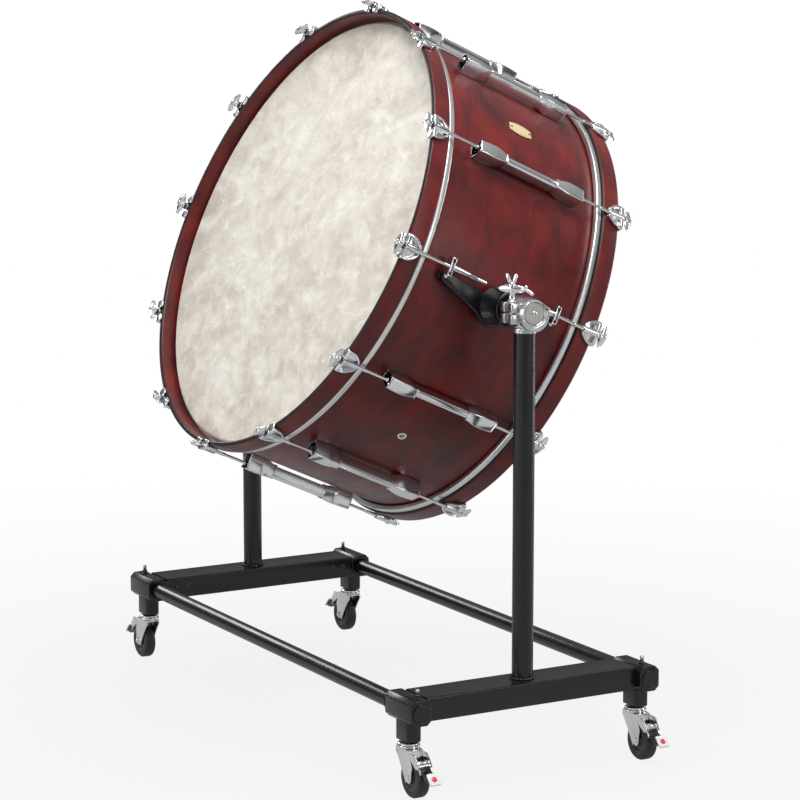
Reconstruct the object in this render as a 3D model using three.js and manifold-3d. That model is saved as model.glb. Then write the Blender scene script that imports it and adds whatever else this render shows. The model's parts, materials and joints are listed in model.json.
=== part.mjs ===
// A concert bass drum that hangs on two trunnions in a rolling stand.
// Millimetres, +Z up. The origin is on the floor, midway between the two posts and under
// the middle of the drum. X runs from post to post and the batter head faces -Y.

import * as THREE from 'three';
import { mergeVertices } from 'three/addons/utils/BufferGeometryUtils.js';
import Module from 'manifold-3d';

const wasm = await Module();
wasm.setup();

// ---------------------------------------------------------------- driving dimensions

const GAP = 0.3;                    // clearance between neighbouring pieces
const FIT = 0.5;                    // clearance of a turning or sliding fit, on the radius
const BITE = 1;                     // how far a joined or cutting shape reaches past a face

// Drum, along its own axis and out from it
const SHELL_RADIUS = 454;
const SHELL_WALL = 9;
const SHELL_DEPTH = 406;
const SHOULDER = 7;                 // rounded outer edge of the shell
const VENT_DIAMETER = 14;
const VENT_ANGLE = -45;
const BADGE_ANGLE = 45;
const BADGE_LENGTH = 56;
const BADGE_WIDTH = 31;
const BADGE_THICKNESS = 2;
const FILM = 1;                     // head film with its mounting layer
const FLESH_HOOP_WIDTH = 13;        // along the drum axis
const FLESH_HOOP_THICKNESS = 13;    // across the drum axis
const COLLAR_DEPTH = 11;            // from the head's face down to its flesh hoop
const HOOP_WIDTH = 41;              // counterhoop, along the drum axis
const HOOP_THICKNESS = 11;
const HOOP_INSET = 7;               // the hoop's inner face outside the shell

// Tension gear
const LINES = 12;                   // tension lines round the drum
const ROD_RADIUS = 3.2;
const SLEEVE_RADIUS = 4;            // the thicker end of a tension rod
const ROD_CLEARANCE = 1;            // between a rod's sleeve and the counterhoop
const HANDLE_SPAN = 46;
const HANDLE_CHORD = 17;
const HANDLE_THICKNESS = 6;
const HANDLE_NECK = 3;              // from the claw to the T handle
const CLAW_WIDTH = 50;
const CLAW_TIP_WIDTH = 20;
const CLAW_LENGTH = 33;
const CLAW_LIP = 5;                 // the toes' thickness in front of the hoop
const CLAW_TOE_WIDTH = 13;
const CLAW_THICKNESS = 5;           // metal outside the rod
const LUG_LENGTH = 258;
const LUG_CAP_LENGTH = 66;
const LUG_CAP_RADIUS = 12;
const LUG_BAR_RADIUS = 9;
const LUG_BORE_DEPTH = 30;
const LUG_FOOT_WIDTH = 18;

// Trunnion
const PIVOT_DROP = 31;              // trunnion axis below the drum axis
const BRACKET_THICKNESS = 11;
const BRACKET_REACH = 134;          // from the trunnion to the end of an arm
const BRACKET_ARM_WIDTH = 20;
const BRACKET_CORNER = 5;
const BRACKET_MARGIN = 2;           // from the arm's edges to the foot behind a nut post
const BELLY_HALF = 35;              // the round under the hub: half its width,
const BELLY_TOP = 26.4;             // its height below the trunnion where it starts,
const BELLY_PULL = 59.4;            // and how far down its curve is pulled
const NOTCH_HALF = 57;              // the dip in the arms' top edge over the hub
const NOTCH_EDGE = 3;
const NOTCH_PULL = 12;
const HUB_SEAT_RADIUS = 35.2;
const HUB_WAIST_RADIUS = 29;
const HUB_FACE_RADIUS = 26.4;
const HUB_CONE = 14;                // from the seat to the waist
const HUB_LENGTH = 74;
const AXLE_RADIUS = 21;
const NUT_POST_WIDTH = 10;
const NUT_POST_HEIGHT = 34;
const NUT_LENGTH = 36;
const NUT_RADIUS = 6;
const NUT_POST_RAISE = 5;           // the middle of a nut post above its rod
const NUT_POST_SEAT = 1;            // the arm's top edge above the foot of a nut post
const NUT_POST_OUTSIDE = 4;         // metal outside the nut
const LONG_ROD_END = 42;            // inner end of the rods beside the trunnion

// Stand
const POST_DIAMETER = 41;
const TUBE_WALL = 2.3;
const PIVOT_HEIGHT = 895;
const BEAM_WIDTH = 82;
const BEAM_HEIGHT = 46;
const CROSS_TUBE_DIAMETER = 32;
const CROSS_TUBE_SPACING = 512;
const BLOCK_DEPTH = 44;             // corner casting, along the beam
const BLOCK_HEIGHT = 50;
const BLOCK_CHAMFER = 9;
const BLOCK_INWARD = 42;            // from the post's axis towards the drum
const BLOCK_OUTWARD = 58;
const BLOCK_CAP_RADIUS = 20;
const BLOCK_CAP_PROUD = 3;
const SPIGOT_LENGTH = 30;
const LEG_LENGTH_X = 50;
const LEG_LENGTH_Y = 31;
const LEG_CHAMFER = 5;
const LEG_DROP = 61;                // from the cross tube's axis down to the foot of a leg
const DRAIN_DIAMETER = 6;

// Tilt clamp
const CLAMP_WALL = 9;
const CLAMP_LENGTH = 63;
const CLAMP_INWARD = 28;            // from the post's axis towards the drum
const CLAMP_CLEARANCE = 12.6;       // between the hub and the clamp
const CLAMP_NECK = 5.5;             // from the clamp's ring down to the post's top
const CLAMP_SOCKET_WALL = 2;
const CLAMP_EAR_MARGIN = 17;        // from the bolt's axis to the ears' front
const CLAMP_EAR_HEIGHT = 40;
const CLAMP_EAR_WIDTH = 40;
const CLAMP_SLOT = 3;
const BOLT_RADIUS = 4;
const BOLT_WALL = 3.5;              // between the clamp's bore and the bolt's shank
const BOLT_SPAN = 62;
const BOLT_HEIGHT = 45;             // of the bolt's wing above the trunnion's axis
const BOLT_FOOT = 6;                // below the lower ear
const BOLT_COLLAR_RADIUS = 6.8;
const WING_CHORD = 14;
const WING_THICKNESS = 13;
const WING_SCREW_RADIUS = 5;
const WING_SCREW_TOP = 15;          // above the wing
const EAR_HEIGHT = 26;              // of the small screw's two ears above the wing
const EAR_REACH = 12;
const EAR_THICKNESS = 4;

// Casters
const WHEEL_RADIUS = 37.5;
const WHEEL_WIDTH = 24;
const TREAD_ROUND = 5;
const TRAIL = 26;
const CASTER_INSET = 9;             // stem axis outside the post's axis
const STEM_RADIUS = 5.5;
const STEM_LENGTH = 30;
const RACE_RADIUS = 22.5;
const RACE_HEIGHT = 12;
const FORK_WALL = 3;
const CROWN_CLEARANCE = 14.7;       // between the wheel's top and the fork's crown
const CASTER_AXLE_RADIUS = 4;
const AXLE_HEAD = 3;                // the axle's end outside a cheek
const CROWN_INSET = 3;              // the crown's front edge inside the race
const CROWN_OVERHANG = 4;           // the crown's rear edge outside the race
const CHEEK_SHOULDER = 14;          // the straight part of a cheek's front edge
const CHEEK_BOSS = 9;               // metal round the axle
const CHEEK_REAR = 14;              // height of the cheek's rear corner above the axle
const PEDAL_PIVOT_ANGLE = 43.6;     // up from the wheel's axle, seen from the side
const PEDAL_PIVOT_CLEARANCE = 7;    // from the tread out to the pedal's pin
const PEDAL_PIN_RADIUS = 2;
const PEDAL_LENGTH = 48;
const PEDAL_WIDTH = 24;
const PEDAL_THICKNESS = 4;
const PEDAL_KNUCKLE_RADIUS = 5;
const PEDAL_KNEE = 18;              // from the pin to where the arm levels out
const PEDAL_DROP = 24;              // from the pin down to the tab

// Pose and smoothness
const TILT = 24.5;                  // degrees, as the drum is set
const ROUND = 48;                   // sides of the drum's rings
const WHEEL_SIDES = 28;
const ROD_SIDES = 6;
const LUG_SIDES = 8;

// ---------------------------------------------------------------- derived places

const radians = THREE.MathUtils.degToRad;
const shellEnd = SHELL_DEPTH / 2;
const filmInside = shellEnd + GAP;
const filmOutside = filmInside + FILM;
const collarInside = SHELL_RADIUS + GAP + FIT;
const fleshOutside = collarInside + FLESH_HOOP_THICKNESS;
const fleshTop = filmInside - COLLAR_DEPTH;
const fleshBottom = fleshTop - FLESH_HOOP_WIDTH;
const hoopInside = SHELL_RADIUS + HOOP_INSET;
const hoopOutside = hoopInside + HOOP_THICKNESS;
const hoopBottom = fleshTop + GAP;
const hoopEnd = hoopBottom + HOOP_WIDTH;
const rodCircle = hoopOutside + SLEEVE_RADIUS + ROD_CLEARANCE;
const clawFace = hoopEnd + CLAW_LIP;
const handleCentre = clawFace + GAP + HANDLE_NECK + HANDLE_CHORD / 2;
const lugEnd = LUG_LENGTH / 2;
const rodEnd = lugEnd - LUG_BORE_DEPTH + GAP;
const bracketInside = SHELL_RADIUS + 3 * GAP;
const bracketPlate = rodCircle - SLEEVE_RADIUS - BRACKET_THICKNESS - 2 * GAP;
const postX = bracketPlate + HUB_LENGTH + CLAMP_CLEARANCE + CLAMP_INWARD;
const blockY = CROSS_TUBE_SPACING / 2;
const clampBore = AXLE_RADIUS + FIT;
const clampRadius = clampBore + CLAMP_WALL;
const boltOffset = clampBore + BOLT_WALL + BOLT_RADIUS;
const clampEar = boltOffset + CLAMP_EAR_MARGIN;
const postTop = PIVOT_HEIGHT - clampRadius - CLAMP_NECK;
const raceBottom = 2 * WHEEL_RADIUS + CROWN_CLEARANCE + FORK_WALL;
const raceTop = raceBottom + RACE_HEIGHT;
const legBottom = raceTop + GAP;
const frameAxis = legBottom + LEG_DROP;
const axleEnd = postX - CLAMP_INWARD + CLAMP_LENGTH - GAP;

// ---------------------------------------------------------------- materials

const paint = (color, roughness, metalness) =>
  new THREE.MeshStandardMaterial({ color, roughness, metalness });

const stainedWood = paint(0x6b2025, 0.35, 0);
const headFilm = paint(0xe2dbd0, 0.6, 0);
const chrome = paint(0xc8ccd0, 0.15, 1);
const blackSteel = paint(0x242428, 0.45, 0.3);
const blackRubber = paint(0x2b2d32, 0.55, 0);
const zinc = paint(0xb9bcc0, 0.3, 1);
const gold = paint(0xcdbb84, 0.35, 0.8);
const pedalPlastic = paint(0xe8e8e6, 0.4, 0);

// ---------------------------------------------------------------- geometry helpers

// A closed geometry with one vertex at each corner and no triangle of no area.
function weld(geometry) {
  const plain = geometry.clone();
  plain.deleteAttribute('normal');
  plain.deleteAttribute('uv');
  const merged = mergeVertices(plain, 1e-3);
  const corners = merged.index.array;
  const kept = [];
  for (let i = 0; i < corners.length; i += 3) {
    const [a, b, c] = [corners[i], corners[i + 1], corners[i + 2]];
    if (a !== b && b !== c && c !== a) kept.push(a, b, c);
  }
  merged.setIndex(kept);
  return merged;
}

function solidOf(geometry) {
  const merged = weld(geometry);
  return new wasm.Manifold(new wasm.Mesh({
    numProp: 3,
    vertProperties: new Float32Array(merged.attributes.position.array),
    triVerts: new Uint32Array(merged.index.array),
  }));
}

function geometryOf(solid) {
  const mesh = solid.getMesh();
  const geometry = new THREE.BufferGeometry();
  geometry.setAttribute('position', new THREE.BufferAttribute(mesh.vertProperties, 3));
  geometry.setIndex(new THREE.BufferAttribute(mesh.triVerts, 1));
  return geometry;
}

// Joins the first list of geometries and cuts the second list away.
function carve(joined, removed = []) {
  let solid = solidOf(joined[0]);
  for (const geometry of joined.slice(1)) solid = solid.add(solidOf(geometry));
  for (const geometry of removed) solid = solid.subtract(solidOf(geometry));
  return geometryOf(solid);
}

// A body turned about the Y axis from [radius, y] points.
function turned(profile, sides = ROUND) {
  const points = profile.map(([radius, y]) => new THREE.Vector2(radius, y));
  return weld(new THREE.LatheGeometry(points, sides));
}

function ring(profile, sides = ROUND) {
  return turned([...profile, profile[0]], sides);
}

function box(x0, x1, y0, y1, z0, z1) {
  const geometry = new THREE.BoxGeometry(x1 - x0, y1 - y0, z1 - z0);
  return geometry.translate((x0 + x1) / 2, (y0 + y1) / 2, (z0 + z1) / 2);
}

// Two distances from the middle as an ordered pair, on the side that end says.
function span(end, near, far) {
  return end > 0 ? [near, far] : [-far, -near];
}

// A cylinder between two heights on one axis, through the point given.
function rod(axis, radius, from, to, [x, y, z] = [0, 0, 0], sides = 16) {
  const geometry = new THREE.CylinderGeometry(radius, radius, to - from, sides);
  geometry.rotateY(Math.PI / sides);
  geometry.translate(0, (from + to) / 2, 0);
  if (axis === 'x') geometry.rotateZ(-Math.PI / 2);
  if (axis === 'z') geometry.rotateX(Math.PI / 2);
  return geometry.translate(x, y, z);
}

function outline(points) {
  return new THREE.Shape(points.map(([a, b]) => new THREE.Vector2(a, b)));
}

function plate(shape, thickness, curveSegments = 8) {
  return new THREE.ExtrudeGeometry(shape, {
    depth: thickness, bevelEnabled: false, curveSegments,
  });
}

// A pointed leaf, as on a T handle: its length lies along x and its chord along y.
function leaf(length, chord, thickness) {
  const shape = new THREE.Shape();
  shape.moveTo(-length / 2, 0);
  shape.quadraticCurveTo(0, -chord, length / 2, 0);
  shape.quadraticCurveTo(0, chord, -length / 2, 0);
  return plate(shape, thickness, 4).translate(0, 0, -thickness / 2);
}

function chamfered(width, height, chamfer) {
  const [w, h, c] = [width / 2, height / 2, chamfer];
  return outline([
    [-w + c, -h], [w - c, -h], [w, -h + c], [w, h - c],
    [w - c, h], [-w + c, h], [-w, h - c], [-w, -h + c],
  ]);
}

function addMesh(parent, name, geometry, material) {
  const mesh = new THREE.Mesh(geometry, material);
  mesh.name = name;
  parent.add(mesh);
  return mesh;
}

// ---------------------------------------------------------------- drum

// Inside the drum group, y is the drum's axis and the group's origin is the trunnion.
const drum = new THREE.Group();
drum.position.z = PIVOT_HEIGHT;
drum.rotation.x = -radians(TILT);

const barrel = new THREE.Group();
barrel.position.z = PIVOT_DROP;
drum.add(barrel);

// The direction out from the drum's axis at an angle from +x towards +z.
function turnedTo(geometry, degrees) {
  return geometry.rotateY(-radians(degrees));
}

function shellGeometry() {
  const inside = SHELL_RADIUS - SHELL_WALL;
  const wall = ring([
    [inside, -shellEnd], [SHELL_RADIUS - SHOULDER, -shellEnd],
    [SHELL_RADIUS, -shellEnd + SHOULDER], [SHELL_RADIUS, shellEnd - SHOULDER],
    [SHELL_RADIUS - SHOULDER, shellEnd], [inside, shellEnd],
  ]);
  const vent = rod('x', VENT_DIAMETER / 2, inside - SHELL_WALL, SHELL_RADIUS + SHELL_WALL,
    [0, 0, 0], 12);
  return carve([wall], [turnedTo(vent, VENT_ANGLE)]);
}

// One head: its film, the collar round the shell's edge, and the flesh hoop it grips.
function headGeometry() {
  const collarOutside = collarInside + FILM;
  const shoulderIn = SHELL_RADIUS - SHOULDER;
  const round = FLESH_HOOP_THICKNESS / 2;
  const fleshMiddle = (fleshBottom + fleshTop) / 2;
  return turned([
    [0, filmInside], [shoulderIn, filmInside], [collarInside, filmInside - SHOULDER],
    [collarInside, fleshBottom], [fleshOutside - round, fleshBottom],
    [fleshOutside, fleshMiddle], [fleshOutside - round, fleshTop], [collarOutside, fleshTop],
    [collarOutside, filmInside - SHOULDER + FILM / 2], [shoulderIn + FILM / 2, filmOutside],
    [0, filmOutside],
  ]);
}

// A claw hooks over the hoop's edge at +x and carries one rod.
function clawGeometry() {
  const outside = rodCircle + CLAW_THICKNESS + SLEEVE_RADIUS;
  const heel = hoopEnd - CLAW_LENGTH;
  const body = plate(outline([
    [-CLAW_TIP_WIDTH / 2, heel], [CLAW_TIP_WIDTH / 2, heel],
    [CLAW_WIDTH / 2, hoopEnd - CLAW_LIP], [CLAW_WIDTH / 2, clawFace],
    [-CLAW_WIDTH / 2, clawFace], [-CLAW_WIDTH / 2, hoopEnd - CLAW_LIP],
  ]), outside - hoopOutside + 1);
  body.rotateY(Math.PI / 2).translate(hoopOutside - 1, 0, 0);
  const toe = (side) => {
    const across = span(side, CLAW_WIDTH / 2 - CLAW_TOE_WIDTH, CLAW_WIDTH / 2);
    return box(hoopInside + 1, hoopOutside, hoopEnd - 1, clawFace, ...across);
  };
  return { body, toes: [toe(-1), toe(1)] };
}

function hoopGeometry() {
  const band = ring([
    [hoopInside, hoopBottom], [hoopOutside, hoopBottom],
    [hoopOutside, hoopEnd], [hoopInside, hoopEnd],
  ]);
  const joined = [band];
  const removed = [];
  for (let line = 0; line < LINES; line += 1) {
    const { body, toes } = clawGeometry();
    const angle = line * 360 / LINES;
    const bore = rod('y', SLEEVE_RADIUS + 2 * FIT, hoopBottom, clawFace + 1, [rodCircle, 0, 0], 8);
    joined.push(turnedTo(body, angle), ...toes.map((toe) => turnedTo(toe, angle)));
    removed.push(turnedTo(bore, angle));
  }
  return carve(joined, removed);
}

// A tension rod along +y on the y axis: the T handle is at its outer end.
function rodGeometry(innerEnd) {
  const sleeveEnd = fleshBottom - GAP;
  const seat = clawFace + GAP;
  const spindle = turned([
    [0, innerEnd], [ROD_RADIUS, innerEnd], [ROD_RADIUS, sleeveEnd - SLEEVE_RADIUS],
    [SLEEVE_RADIUS, sleeveEnd], [SLEEVE_RADIUS, seat], [SLEEVE_RADIUS * 1.7, seat],
    [SLEEVE_RADIUS, seat + HANDLE_NECK], [0, handleCentre],
  ], ROD_SIDES);
  const handle = leaf(HANDLE_SPAN, HANDLE_CHORD, HANDLE_THICKNESS);
  handle.rotateY(Math.PI / 2).translate(0, handleCentre, 0);
  return carve([spindle, handle]);
}

function lugGeometry() {
  const waist = lugEnd - LUG_CAP_LENGTH;
  const bore = ROD_RADIUS + FIT;
  const floor = lugEnd - LUG_BORE_DEPTH;
  const half = [
    [LUG_CAP_RADIUS - 2, lugEnd], [bore, lugEnd], [bore, floor], [0, floor],
  ];
  const mirrored = half.map(([radius, y]) => [radius, -y]).reverse();
  const body = turned([
    ...mirrored, [LUG_CAP_RADIUS, -lugEnd + LUG_CAP_LENGTH / 2], [LUG_BAR_RADIUS, -waist],
    [LUG_BAR_RADIUS, waist], [LUG_CAP_RADIUS, lugEnd - LUG_CAP_LENGTH / 2], ...half,
  ], LUG_SIDES).translate(rodCircle, 0, 0);
  const feet = [-1, 1].map((side) => {
    const along = span(side, waist + 4, floor - 2);
    return box(SHELL_RADIUS + GAP, rodCircle - ROD_RADIUS, ...along,
      -LUG_FOOT_WIDTH / 2, LUG_FOOT_WIDTH / 2);
  });
  return carve([body, ...feet]);
}

function badgeGeometry() {
  const shape = new THREE.Shape();
  shape.absellipse(0, 0, BADGE_LENGTH / 2, BADGE_WIDTH / 2, 0, Math.PI * 2);
  const oval = plate(shape, BADGE_THICKNESS, 10);
  return oval.rotateZ(Math.PI / 2).rotateY(Math.PI / 2).translate(SHELL_RADIUS + GAP, 0, 0);
}

// The boomerang bracket for the +x side, seen from the trunnion's axis: two arms that rise
// to the nut posts, the hub and the axle. side is 1 on the right and -1 on the left.
function bracketGeometry(side) {
  const postLow = PIVOT_DROP + NUT_POST_RAISE - NUT_POST_HEIGHT / 2;
  const armTop = postLow + NUT_POST_SEAT;
  const armBottom = armTop - BRACKET_ARM_WIDTH;
  const shape = new THREE.Shape();
  shape.moveTo(-BRACKET_REACH, armBottom + BRACKET_CORNER);
  shape.lineTo(-BRACKET_REACH + BRACKET_CORNER, armBottom);
  shape.lineTo(-BELLY_HALF, -BELLY_TOP);
  shape.quadraticCurveTo(0, -BELLY_PULL, BELLY_HALF, -BELLY_TOP);
  shape.lineTo(BRACKET_REACH - BRACKET_CORNER, armBottom);
  shape.lineTo(BRACKET_REACH, armBottom + BRACKET_CORNER);
  shape.lineTo(BRACKET_REACH, armTop);
  shape.lineTo(NOTCH_HALF, armTop - NOTCH_EDGE);
  shape.quadraticCurveTo(0, armTop - NOTCH_PULL, -NOTCH_HALF, armTop - NOTCH_EDGE);
  shape.lineTo(-BRACKET_REACH, armTop);
  const web = plate(shape, BRACKET_THICKNESS, 6);
  web.rotateY(Math.PI / 2).rotateX(Math.PI / 2).translate(bracketPlate, 0, 0);
  const hubStart = bracketPlate + BRACKET_THICKNESS - BITE;
  const hubEnd = bracketPlate + HUB_LENGTH;
  const hub = turned([
    [0, hubStart], [HUB_SEAT_RADIUS, hubStart], [HUB_WAIST_RADIUS, hubStart + HUB_CONE],
    [HUB_FACE_RADIUS, hubEnd], [0, hubEnd],
  ], 20).rotateZ(-Math.PI / 2);
  const axle = rod('x', AXLE_RADIUS, hubEnd - BITE, axleEnd);
  const joined = [web, hub, axle];
  const removed = [];
  const rodLine = [rodCircle, 0, PIVOT_DROP];
  for (const end of [-1, 1]) {
    const post = span(end, lugEnd - NUT_POST_WIDTH / 2, lugEnd + NUT_POST_WIDTH / 2);
    joined.push(box(bracketPlate + BITE, rodCircle + NUT_RADIUS + NUT_POST_OUTSIDE, ...post,
      postLow, postLow + NUT_POST_HEIGHT));
    joined.push(box(bracketInside, bracketPlate + BITE, ...post,
      armBottom + BRACKET_CORNER, armTop - BRACKET_MARGIN));
    joined.push(rod('y', NUT_RADIUS, ...span(end, lugEnd - NUT_LENGTH, lugEnd), rodLine, 8));
    const bore = span(end, lugEnd - NUT_LENGTH - BITE, lugEnd + NUT_POST_WIDTH);
    removed.push(rod('y', ROD_RADIUS + FIT, ...bore, rodLine, 8));
  }
  const right = carve(joined, removed);
  return side > 0 ? right : right.rotateZ(Math.PI);
}

function buildDrum() {
  addMesh(barrel, 'shell', shellGeometry(), stainedWood);
  for (const [end, name] of [[-1, 'batter'], [1, 'resonant']]) {
    const turn = end < 0 ? Math.PI : 0;
    addMesh(barrel, `${name}_head`, headGeometry().rotateX(turn), headFilm);
    addMesh(barrel, `${name}_hoop`, hoopGeometry().rotateX(turn), stainedWood);
    for (let line = 0; line < LINES; line += 1) {
      const besideTrunnion = line % (LINES / 2) === 0;
      const geometry = rodGeometry(besideTrunnion ? LONG_ROD_END : rodEnd);
      geometry.rotateX(turn).translate(rodCircle, 0, 0);
      const number = String(line + 1).padStart(2, '0');
      addMesh(barrel, `${name}_rod_${number}`, turnedTo(geometry, line * 360 / LINES), chrome);
    }
  }
  for (let line = 0; line < LINES; line += 1) {
    if (line % (LINES / 2) === 0) continue;
    const number = String(line + 1).padStart(2, '0');
    addMesh(barrel, `lug_${number}`, turnedTo(lugGeometry(), line * 360 / LINES), chrome);
  }
  addMesh(barrel, 'badge', turnedTo(badgeGeometry(), BADGE_ANGLE), gold);
  addMesh(drum, 'trunnion_bracket_right', bracketGeometry(1), blackSteel);
  addMesh(drum, 'trunnion_bracket_left', bracketGeometry(-1), blackSteel);
}

// ---------------------------------------------------------------- stand

// A beam with its post welded on and the split clamp on the post's top.
function sideFrameGeometry(side) {
  const length = blockY - BLOCK_DEPTH / 2 - GAP;
  const beamTop = frameAxis + BEAM_HEIGHT / 2;
  const along = (width, height, chamfer, reach) =>
    plate(chamfered(width, height, chamfer), 2 * reach)
      .translate(0, 0, -reach).rotateX(Math.PI / 2).translate(0, 0, frameAxis);
  const beam = along(BEAM_WIDTH, BEAM_HEIGHT, TUBE_WALL, length);
  const beamHollow = along(BEAM_WIDTH - 2 * TUBE_WALL, BEAM_HEIGHT - 2 * TUBE_WALL,
    TUBE_WALL / 2, length + 1);
  const postRadius = POST_DIAMETER / 2;
  const post = rod('z', postRadius, beamTop - 1, postTop + 2);
  const postHollow = rod('z', postRadius - TUBE_WALL, beamTop - 2 * TUBE_WALL, postTop - 2);
  const inner = -CLAMP_INWARD;
  const at = [0, 0, PIVOT_HEIGHT];
  const barrelRing = rod('x', clampRadius, inner, inner + CLAMP_LENGTH, at, 24);
  const ears = box(-CLAMP_EAR_WIDTH / 2, CLAMP_EAR_WIDTH / 2, -clampEar, 0,
    PIVOT_HEIGHT - CLAMP_EAR_HEIGHT / 2, PIVOT_HEIGHT + CLAMP_EAR_HEIGHT / 2);
  const socket = rod('z', postRadius + CLAMP_SOCKET_WALL, postTop - 6, PIVOT_HEIGHT - AXLE_RADIUS);
  const bore = rod('x', clampBore, inner - 1, inner + CLAMP_LENGTH + 1, at);
  const slot = box(inner - 1, inner + CLAMP_LENGTH + 1, -clampEar - 1, 0,
    PIVOT_HEIGHT - CLAMP_SLOT / 2, PIVOT_HEIGHT + CLAMP_SLOT / 2);
  const boltHole = rod('z', BOLT_RADIUS + FIT, PIVOT_HEIGHT - CLAMP_EAR_HEIGHT,
    PIVOT_HEIGHT + CLAMP_EAR_HEIGHT, [0, -boltOffset, 0], 16);
  const frame = carve([beam, post, barrelRing, ears, socket],
    [beamHollow, postHollow, bore, slot, boltHole]);
  const placed = side > 0 ? frame : mirrorX(frame);
  return placed.translate(side * postX, 0, 0);
}

// The same solid seen in a mirror across x = 0, with its faces still pointing out.
function mirrorX(geometry) {
  geometry.scale(-1, 1, 1);
  const corners = geometry.index.array;
  for (let i = 0; i < corners.length; i += 3) {
    [corners[i], corners[i + 1]] = [corners[i + 1], corners[i]];
  }
  return geometry;
}

// A cross tube with a corner casting clamped on each end. Each casting has a spigot in
// the beam, and a leg with a socket for a caster's stem.
function crossMemberGeometry(end) {
  const tubeRadius = CROSS_TUBE_DIAMETER / 2;
  const reach = postX + BLOCK_OUTWARD;
  const hollowReach = reach - 6;
  const at = [0, end * blockY, frameAxis];
  const joined = [rod('x', tubeRadius, -reach + 10, reach - 10, at)];
  const removed = [rod('x', tubeRadius - TUBE_WALL, -hollowReach, hollowReach, at)];
  removed.push(rod('z', DRAIN_DIAMETER / 2, frameAxis - tubeRadius - 1,
    frameAxis, [0, end * blockY, 0], 12));
  for (const side of [-1, 1]) {
    const casting = plate(chamfered(BLOCK_HEIGHT, BLOCK_DEPTH, BLOCK_CHAMFER),
      BLOCK_INWARD + BLOCK_OUTWARD).rotateY(Math.PI / 2);
    const [castingStart] = span(side, postX - BLOCK_INWARD, reach);
    joined.push(casting.translate(castingStart, at[1], at[2]));
    const cap = span(side, reach - 1, reach + BLOCK_CAP_PROUD);
    joined.push(rod('x', BLOCK_CAP_RADIUS, ...cap, at));
    const legX = side * (postX + CASTER_INSET);
    const leg = plate(chamfered(LEG_LENGTH_X, LEG_LENGTH_Y, LEG_CHAMFER),
      frameAxis - tubeRadius - legBottom);
    joined.push(leg.translate(legX, at[1], legBottom));
    const halfSpigotX = BEAM_WIDTH / 2 - TUBE_WALL - 2 * GAP;
    const halfSpigotZ = BEAM_HEIGHT / 2 - TUBE_WALL - 2 * GAP;
    const face = blockY - BLOCK_DEPTH / 2;
    joined.push(box(side * postX - halfSpigotX, side * postX + halfSpigotX,
      ...span(end, face - SPIGOT_LENGTH, face + 1),
      frameAxis - halfSpigotZ, frameAxis + halfSpigotZ));
    removed.push(rod('z', STEM_RADIUS + FIT, legBottom - 1, legBottom + STEM_LENGTH + 2,
      [legX, at[1], 0], 16));
  }
  return carve(joined, removed);
}

// The wing bolt that closes the clamp, on its own axis.
function tiltBoltGeometry() {
  const foot = -CLAMP_EAR_HEIGHT / 2 - BOLT_FOOT;
  const shank = rod('z', BOLT_RADIUS, foot, BOLT_HEIGHT);
  const collar = rod('z', BOLT_COLLAR_RADIUS, clampRadius - BOLT_RADIUS, BOLT_HEIGHT - BOLT_RADIUS);
  const wing = leaf(BOLT_SPAN, WING_CHORD, WING_THICKNESS);
  wing.rotateX(Math.PI / 2).translate(0, 0, BOLT_HEIGHT);
  const tip = BOLT_HEIGHT + EAR_HEIGHT;
  const ears = [-1, 1].map((side) => {
    const ear = outline([
      [0, BOLT_HEIGHT + BOLT_RADIUS], [side * EAR_THICKNESS, BOLT_HEIGHT + BOLT_RADIUS],
      [side * EAR_REACH, tip - 2], [side * EAR_REACH * 0.6, tip],
      [side * BITE, BOLT_HEIGHT + WING_SCREW_TOP - BITE],
    ]);
    return plate(ear, EAR_THICKNESS).translate(0, 0, -EAR_THICKNESS / 2).rotateX(Math.PI / 2);
  });
  const screw = rod('z', WING_SCREW_RADIUS, BOLT_HEIGHT + BITE, BOLT_HEIGHT + WING_SCREW_TOP,
    [0, 0, 0], 12);
  return carve([shank, collar, wing, screw, ...ears]);
}

// ---------------------------------------------------------------- casters

// One caster stands with its swivel axis on z and its wheel trailing towards +x.
const forkInside = WHEEL_WIDTH / 2 + 2 * FIT;
const forkOutside = forkInside + FORK_WALL;
const axleHeight = WHEEL_RADIUS;
const pedalReach = WHEEL_RADIUS + PEDAL_PIVOT_CLEARANCE;
const pedalPivot = [
  TRAIL + pedalReach * Math.cos(radians(PEDAL_PIVOT_ANGLE)),
  axleHeight + pedalReach * Math.sin(radians(PEDAL_PIVOT_ANGLE)),
];

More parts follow.
